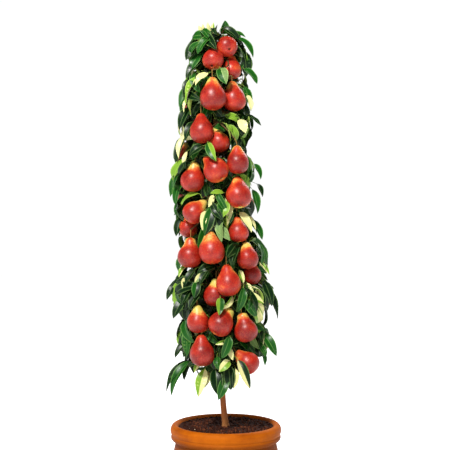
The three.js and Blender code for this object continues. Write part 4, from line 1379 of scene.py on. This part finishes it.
def turned(profile, sides):
    """Points and faces of a profile turned about the Z axis; its ends are on the axis."""
    profile = np.array(profile)
    angle = angles_round(sides)
    rings = profile[1:-1]
    x = rings[:, :1] * np.sin(angle)
    y = -rings[:, :1] * np.cos(angle)
    z = np.broadcast_to(rings[:, 1:], x.shape)
    points = np.stack([x, y, z], -1).reshape(-1, 3)
    ends = [[0, 0, profile[0, 1]], [0, 0, profile[-1, 1]]]
    j = np.arange(sides)
    after = (j + 1) % sides
    low = np.stack([np.full(sides, len(points)), after, j], -1)
    last = (len(rings) - 1) * sides
    high = np.stack([np.full(sides, len(points) + 1), last + j, last + after], -1)
    return np.vstack([points, ends]), [ring_quads(len(rings), sides), low, high]


def cut_drains(pot):
    """Cuts the drain holes through the pot's floor."""
    bpy.ops.object.select_all(action="DESELECT")
    for i in range(DRAIN_COUNT):
        x, y, _ = heading(360 / DRAIN_COUNT * i) * DRAIN_CIRCLE * MM
        bpy.ops.mesh.primitive_cylinder_add(
            vertices=32, radius=DRAIN_RADIUS * MM, depth=4 * POT_FLOOR * MM, location=(x, y, 0))
        cutter = bpy.context.object
        modifier = pot.modifiers.new("drain", "BOOLEAN")
        modifier.object = cutter
        modifier.solver = "EXACT"
        bpy.context.view_layer.objects.active = pot
        bpy.ops.object.modifier_apply(modifier=modifier.name)
        bpy.data.objects.remove(cutter)


def noise_at(x, y, z):
    return noise.noise(Vector((x, y, z)))


def make_pot():
    runs = [POT_FOOT, POT_BELLY, POT_LOWER_ROLL, POT_UPPER_ROLL + POT_LIP[1:], POT_INSIDE, POT_BOTTOM]
    profile = [point for run in runs for point in smooth_run(run, POT_CURVE_STEPS)] + [POT_BOTTOM[-1]]
    points, faces = turned(profile, POT_SIDES)
    reach = np.hypot(points[:, 0], points[:, 1])
    is_side = (points[:, 2] > THROWN_FROM[0]) & (reach > THROWN_FROM[1])
    uneven = np.array([noise_at(*point / THROWN_WAVES) for point in points[is_side]])
    points[is_side, :2] *= (1 + THROWN * uneven / reach[is_side])[:, None]
    piece = Piece("terracotta_pot", [terracotta_material()])
    piece.add(points, faces, 0)
    pot = piece.build()
    cut_drains(pot)
    return pot


def soil_height(x, y):
    """Relief of the soil in millimetres about its level."""
    return SOIL_RELIEF * sum(share * noise_at(x / length, y / length, at) for share, length, at in SOIL_WAVES)


def make_soil(looks):
    """The body of soil inside the pot, with an uneven top."""
    floor = POT_FLOOR + GAP
    profile = [(0, floor)] + [(r - GAP * 1.5, max(z, floor)) for r, z in POT_INSIDE[::-1]]
    profile += [(SOIL_EDGE * (1 - (i / SOIL_RINGS)), SOIL_TOP) for i in range(SOIL_RINGS)] + [(0, SOIL_TOP)]
    points, faces = turned(profile, SOIL_SIDES)
    for i in np.flatnonzero(points[:, 2] > SOIL_TOP - 0.1):
        points[i, 2] += soil_height(*points[i, :2])
    piece = Piece("potting_soil", [looks[0]])
    piece.add(points, faces, 0)
    return piece.build()


def icosahedron():
    made = bmesh.new()
    bmesh.ops.create_icosphere(made, subdivisions=1, radius=1)
    points = np.array([v.co for v in made.verts])
    faces = np.array([[v.index for v in f.verts] for f in made.faces])
    made.free()
    return points, faces


def make_crumbs(looks):
    """Crumbs, bark bits and pale specks that lie on the soil."""
    rng = np.random.default_rng(CRUMB_SEED)
    points, faces = icosahedron()
    reach = CRUMB_REACH * np.sqrt(rng.uniform(0, 1, CRUMBS))
    angle = rng.uniform(0, 2 * math.pi, CRUMBS)
    x, y = reach * np.sin(angle), reach * np.cos(angle)
    keep = np.hypot(x, y) > TRUNK_FOOT_RADIUS + CRUMB_FROM_TRUNK
    x, y = x[keep], y[keep]
    count = len(x)
    size = CRUMB_RADIUS + CRUMB_GROWTH * rng.uniform(0, 1, count) ** 4
    z = np.array([SOIL_TOP + soil_height(a, b) for a, b in zip(x, y)]) + size * CRUMB_RISE
    stretch = rng.uniform(*CRUMB_STRETCH, (count, 1, 3))
    lumps = rng.uniform(*CRUMB_LUMPS, (count, len(points), 1))
    spin = rng.uniform(0, 2 * math.pi, count)
    cos, sin = np.cos(spin)[:, None], np.sin(spin)[:, None]
    body = points[None] * stretch * lumps * size[:, None, None]
    turned_x = body[..., 0] * cos - body[..., 1] * sin
    turned_y = body[..., 0] * sin + body[..., 1] * cos
    placed = np.stack([turned_x + x[:, None], turned_y + y[:, None], body[..., 2] + z[:, None]], -1)
    tone = rng.choice(len(looks) - 1, count, p=CRUMB_SHARES)
    tone[:SPECKS] = len(looks) - 1
    middles = placed[:SPECKS].mean(1, keepdims=True)
    placed[:SPECKS] = (placed[:SPECKS] - middles) * SPECK_SIZE + middles
    starts = (np.arange(count) * len(points))[:, None, None]
    piece = Piece("soil_crumbs", looks)
    piece.add(placed, (faces + starts).reshape(-1, 3), np.repeat(tone, len(faces)))
    return piece.build()


# Wood
def bark_relief(angle, z, radius):
    """How far bark stands out, in millimetres: fibres, ring scars and small raised dots."""
    x, y = math.cos(angle), math.sin(angle)
    relief = 0
    for amount, scale, length, shift in BARK_LAYERS:
        relief += amount * noise_at(x * scale, y * scale, z / length + shift)
    dots = noise_at(angle * radius / 2.2, z / 1.1, 5)
    return (relief + BARK_DOT * max(dots - BARK_DOT_FROM, 0)) * min(radius / 9, 1)


def make_trunk(look):
    low = SOIL_TOP + GAP
    z = low + (TRUNK_TOP - low) * np.linspace(0, 1, TRUNK_RINGS) ** TRUNK_RING_POWER
    z[0] = SOIL_TOP - TRUNK_SUNK
    axis = trunk_axis(z)
    radius = trunk_radius(np.maximum(z, SOIL_TOP))
    points = []
    for i in range(TRUNK_RINGS):
        for a in angles_round(TRUNK_SIDES):
            r = radius[i] + bark_relief(a, z[i], radius[i])
            points.append(axis[i] + r * np.array([math.cos(a), math.sin(a), 0]))
    piece = Piece("trunk_bark", [look])
    first = np.arange(TRUNK_SIDES)[None, ::-1]
    last = np.arange(TRUNK_SIDES)[None] + (TRUNK_RINGS - 1) * TRUNK_SIDES
    piece.add(points, [ring_quads(TRUNK_RINGS, TRUNK_SIDES), first, last], 0)
    return piece.build()


def make_boughs(spaces, look):
    """The boughs, each with a collar where it leaves the trunk."""
    rings, sides = BOUGH_MESH
    shares = np.linspace(0, 1, rings)
    radii = mix(BOUGH_RADIUS, BOUGH_TIP_RADIUS, shares) + BOUGH_COLLAR * np.exp(-((shares * 50 - 9) / 5) ** 2)
    piece = Piece("bough_bark", [look])
    boughs = [space.bough for space in spaces if not space.is_top]
    add_limbs(piece, boughs, radii, sides, BOUGH_UNEVEN, np.random.default_rng(BOUGH_SEED))
    return piece.build()


def make_twigs(group, spaces, pears, sprigs, leaves, looks):
    """Stems, spurs, fruit stalks, twigs and leaf stalks of a group of tiers."""
    piece = Piece(f"twigs_{group}", looks)
    rng = np.random.default_rng(TWIG_SEED)
    rings, sides = STEM_MESH
    stems = [space.stem for space in spaces]
    add_limbs(piece, stems, np.linspace(STEM_RADIUS, STEM_TIP_RADIUS, rings), sides, STEM_UNEVEN, rng)
    rings, sides = SPUR_MESH
    add_limbs(piece, [pear.spur for pear in pears], np.linspace(*SPUR_RADII, rings), sides, SPUR_UNEVEN, rng)
    rings, sides = STALK_MESH
    stalks = []
    for pear in pears:
        knee = pear.top + pear.neck * np.linalg.norm(pear.stalk_top - pear.top) * 0.5
        stalks.append(bend(pear.stalk_top, knee, pear.top - pear.neck * pear.radius * 0.1, rings - 1))
    flare = (2 * np.linspace(0, 1, rings) - 1) ** 4
    add_tubes(piece, stalks, (STALK_RADII[0] + STALK_RADII[1] * flare)[None], sides, 1)
    for sides, steps in ((TWIG_SIDES, CURVE_STEPS), (FINE_TWIG_SIDES, CURVE_STEPS // 2)):
        lines = [sprig for sprig in sprigs if len(sprig[0]) == steps + 1]
        radii = np.array([np.linspace(start, end, steps + 1) for _, start, end, _ in lines])
        add_tubes(piece, [sprig[0] for sprig in lines], radii, sides, 0)
    rings, sides = LEAF_STALK_MESH
    stalks = []
    for leaf in leaves:
        knee = leaf["base"] - leaf["way"] * np.linalg.norm(leaf["base"] - leaf["joint"]) * 0.4
        stalks.append(bend(leaf["joint"], knee, leaf["base"] + leaf["way"] * LEAF_STALK_SUNK, rings - 1))
    add_tubes(piece, stalks, np.linspace(*LEAF_STALK_RADII, rings)[None], sides, 2)
    return piece.build()


# Fruit meshes
def pear_profile(form):
    """The outline of a pear from its eye to its stalk, in belly radii."""
    low = -0.9 * np.cos(np.linspace(0.08, math.pi / 2, PEAR_LOWER_RINGS))[:-1]
    body = [*zip(low, pear_radius(low)), *smooth_run(form, PEAR_CURVE_STEPS)]
    return np.array(PEAR_CALYX_RINGS + body + PEAR_STALK_RINGS)


def make_fruit(group, pears, looks):
    """The pears of a group of tiers in one piece, with a blush on every point."""
    piece = Piece(f"pears_{group}", looks)
    angle = angles_round(PEAR_SIDES)
    blush = []
    for pear in pears:
        along, radius = pear_profile(NECK_FORM if pear.is_necked else CONE_FORM).T
        seed = pear.centre[2] * 0.37
        side = unit(np.cross(pear.neck, [0.3, -0.9, 0.2]))
        other = np.cross(pear.neck, side)
        spokes = np.cos(angle)[:, None] * side + np.sin(angle)[:, None] * other
        lump = np.array([
            [noise.noise(Vector(spoke * 0.9) + Vector((0, seed, t))) for spoke in spokes] for t in along])
        ripple = 1 + PEAR_LUMPS * lump * np.minimum(1, radius * 2)[:, None]
        out = spokes[None] * (radius[:, None] * ripple)[..., None] * pear.radius
        points = pear.centre + out + (pear.neck * pear.radius) * along[:, None, None]
        piece.add(points, ring_quads(len(along), PEAR_SIDES), 0)
        blush.append(blush_of(points, spokes, along, pear, seed).ravel())
        blush.append(np.zeros(add_sepals(piece, pear, side, other)))
    made = piece.build()
    made.data.attributes.new("blush", "FLOAT", "POINT").data.foreach_set("value", np.concatenate(blush))
    return made


def blush_of(points, spokes, along, pear, seed):
    """How red each point is: most on the outer, upper side, least at the neck and inwards."""
    outward = (spokes * pear.opening).sum(-1)[None]
    patch = np.array([[noise.noise(Vector(p / 26) + Vector((seed, 0, 0))) for p in row] for row in points])
    ripe = RIPE + RIPE_SPREAD * math.sin(seed * 5)
    start, length = BLUSH_NECK
    neck = np.clip((along - start) / length, 0, 1)[:, None] * pear.yellowness
    place, half, paleness = BLUSH_WAIST
    waist = np.exp(-((along - place) / half) ** 2)[:, None]
    return np.clip(ripe + BLUSH_OUTWARDS * outward + BLUSH_PATCHES * patch - neck - paleness * waist, 0, 1)


def add_sepals(piece, pear, side, other):
    """Adds the dry star in the eye of a pear; returns how many points that has."""
    points, faces = [], []
    eye = pear.centre - pear.neck * pear.radius * SEPAL_AT
    for turn in angles_round(SEPALS):
        out = side * math.cos(turn) + other * math.sin(turn)
        flank = np.cross(pear.neck, out)
        root, tip = (eye + out * reach for reach in SEPAL_REACH)
        first = len(points)
        points += [root - flank * SEPAL_HALF, root + flank * SEPAL_HALF]
        points += [root + pear.neck * SEPAL_THICKNESS, tip - pear.neck * SEPAL_DROOP]
        faces += [[first + k for k in corners] for corners in ((0, 1, 3), (1, 2, 3), (2, 0, 3), (0, 2, 1))]
    piece.add(points, np.array(faces), 1)
    return len(points)


# Assembly
def place(piece, slot, *nodes):
    """Puts a finished piece on the frame in place of CAD nodes."""
    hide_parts(*nodes)
    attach(piece, "root")


spaces = make_spaces()
shapes = place_pears()
hung = [pear for pear in shapes if hang_pear(pear, spaces, shapes)]
all_fruit = stacked(hung)
for space in spaces:
    plan_limbs(space, all_fruit)
pears = [pear for pear in hung if spur_course(pear, all_fruit)]
for space in spaces:
    space.spurs = [pear.spur for pear in pears if pear.space is space]

leaves, sprigs = [], []
taken = grow_seen_leaves(spaces, stacked(pears), sprigs, leaves)
taken = grow_inner(spaces, pears, taken, sprigs, leaves)
for space in spaces:
    taken = grow_mass(space, pears, taken, sprigs, leaves)

place(make_pot(), "terracotta", "pot")
soil_looks = [grainy_material(f"soil_{name}", *look) for name, *look in SOIL_LOOKS]
place(make_soil(soil_looks), "soil", "soil")
place(make_crumbs(soil_looks), "soil", "soil")
twig_bark = bark_material("bark_twig", TWIG_BARK, TWIG_BARK, 0.3)
place(make_trunk(bark_material("bark_trunk", *TRUNK_BARK, 0.325)), "bark", "trunk")
place(make_boughs(spaces, twig_bark), "bark", *[f"bough_{s.name}" for s in spaces if not s.is_top])
wood_looks = [
    twig_bark,
    grainy_material("fruit_stalk", (112, 84, 40), 0.55),
    grainy_material("leaf_stalk", (120, 150, 62), 0.45, strength=0.2),
]
leaf_set = leaf_looks()
fruit_looks = [pear_material(), grainy_material("pear_sepals", (58, 36, 24), 0.8)]
for group in GROUPS:
    own = [space for space in spaces if group_of(space.tier) == group]
    own_pears = [pear for pear in pears if group_of(pear.space.tier) == group]
    own_sprigs = [sprig for sprig in sprigs if group_of(sprig[3]) == group]
    own_leaves = [leaf for leaf in leaves if group_of(leaf["tier"]) == group]
    nodes = [f"foliage_{space.name}" for space in own]
    place(make_twigs(group, own, own_pears, own_sprigs, own_leaves, wood_looks), "bark", *nodes)
    place(make_leaves(group, own_leaves, leaf_set), "foliage", *nodes)
    place(make_fruit(group, own_pears, fruit_looks), "foliage", *nodes)


# Floor, light and camera
def make_floor():
    """A pale floor that runs into the white of the backdrop away from the pot."""
    mesh = bpy.data.meshes.new("floor")
    corners = [(x * FLOOR_HALF, y * FLOOR_HALF, 0) for x, y in ((-1, -1), (1, -1), (1, 1), (-1, 1))]
    mesh.from_pydata(corners, [], [(0, 1, 2, 3)])
    look = Look("floor_white", 0.9, Base_Color=(0.8, 0.8, 0.8, 1), Specular_IOR_Level=0.1)
    look.grain(40, 0.85, 0.95, 0.02, 0.001)
    away = look.add("VectorMath", "Value", {0: look.where}, operation="LENGTH")
    glow = look.spread(away, *FLOOR_GLOW, interpolation_type="SMOOTHSTEP")
    look.set(Emission_Color=(1, 1, 1, 1), Emission_Strength=glow)
    mesh.materials.append(look.material)
    floor = add_object("floor", mesh)


def add_light(name, at, size, watts, colour):
    data = bpy.data.lights.new(name, "AREA")
    data.shape = "DISK"
    data.size = size
    data.energy = watts
    data.color = colour
    light = add_object(name, data)
    light.location = at
    light.rotation_mode = "QUATERNION"
    light.rotation_quaternion = (Vector(LIT) - Vector(at)).to_track_quat("-Z", "Y")


def white_world():
    """White at the height of the horizon, where it is seen, and dimmer above, as a studio is."""
    world = bpy.data.worlds.new("white")
    nodes = Nodes(world, "Background")
    height = nodes.add("SeparateXYZ", "Z", {"Vector": nodes.add("TexCoord", "Generated")})
    nodes.set(Color=(1, 1, 1, 1), Strength=nodes.spread(height, 0.24, 0.32, 1.02, 0.12))
    return world


def add_camera():
    camera = bpy.data.cameras.new("camera")
    camera.lens = LENS_MM
    camera.sensor_width = SENSOR_MM
    seen = add_object("camera", camera)
    seen.location = CAMERA_AT
    seen.rotation_euler = (math.pi / 2, 0, 0)
    bpy.context.scene.camera = seen


make_floor()
for light in LIGHTS:
    add_light(*light)
bpy.context.scene.world = white_world()
bpy.context.scene.view_settings.view_transform = "Standard"
add_camera()
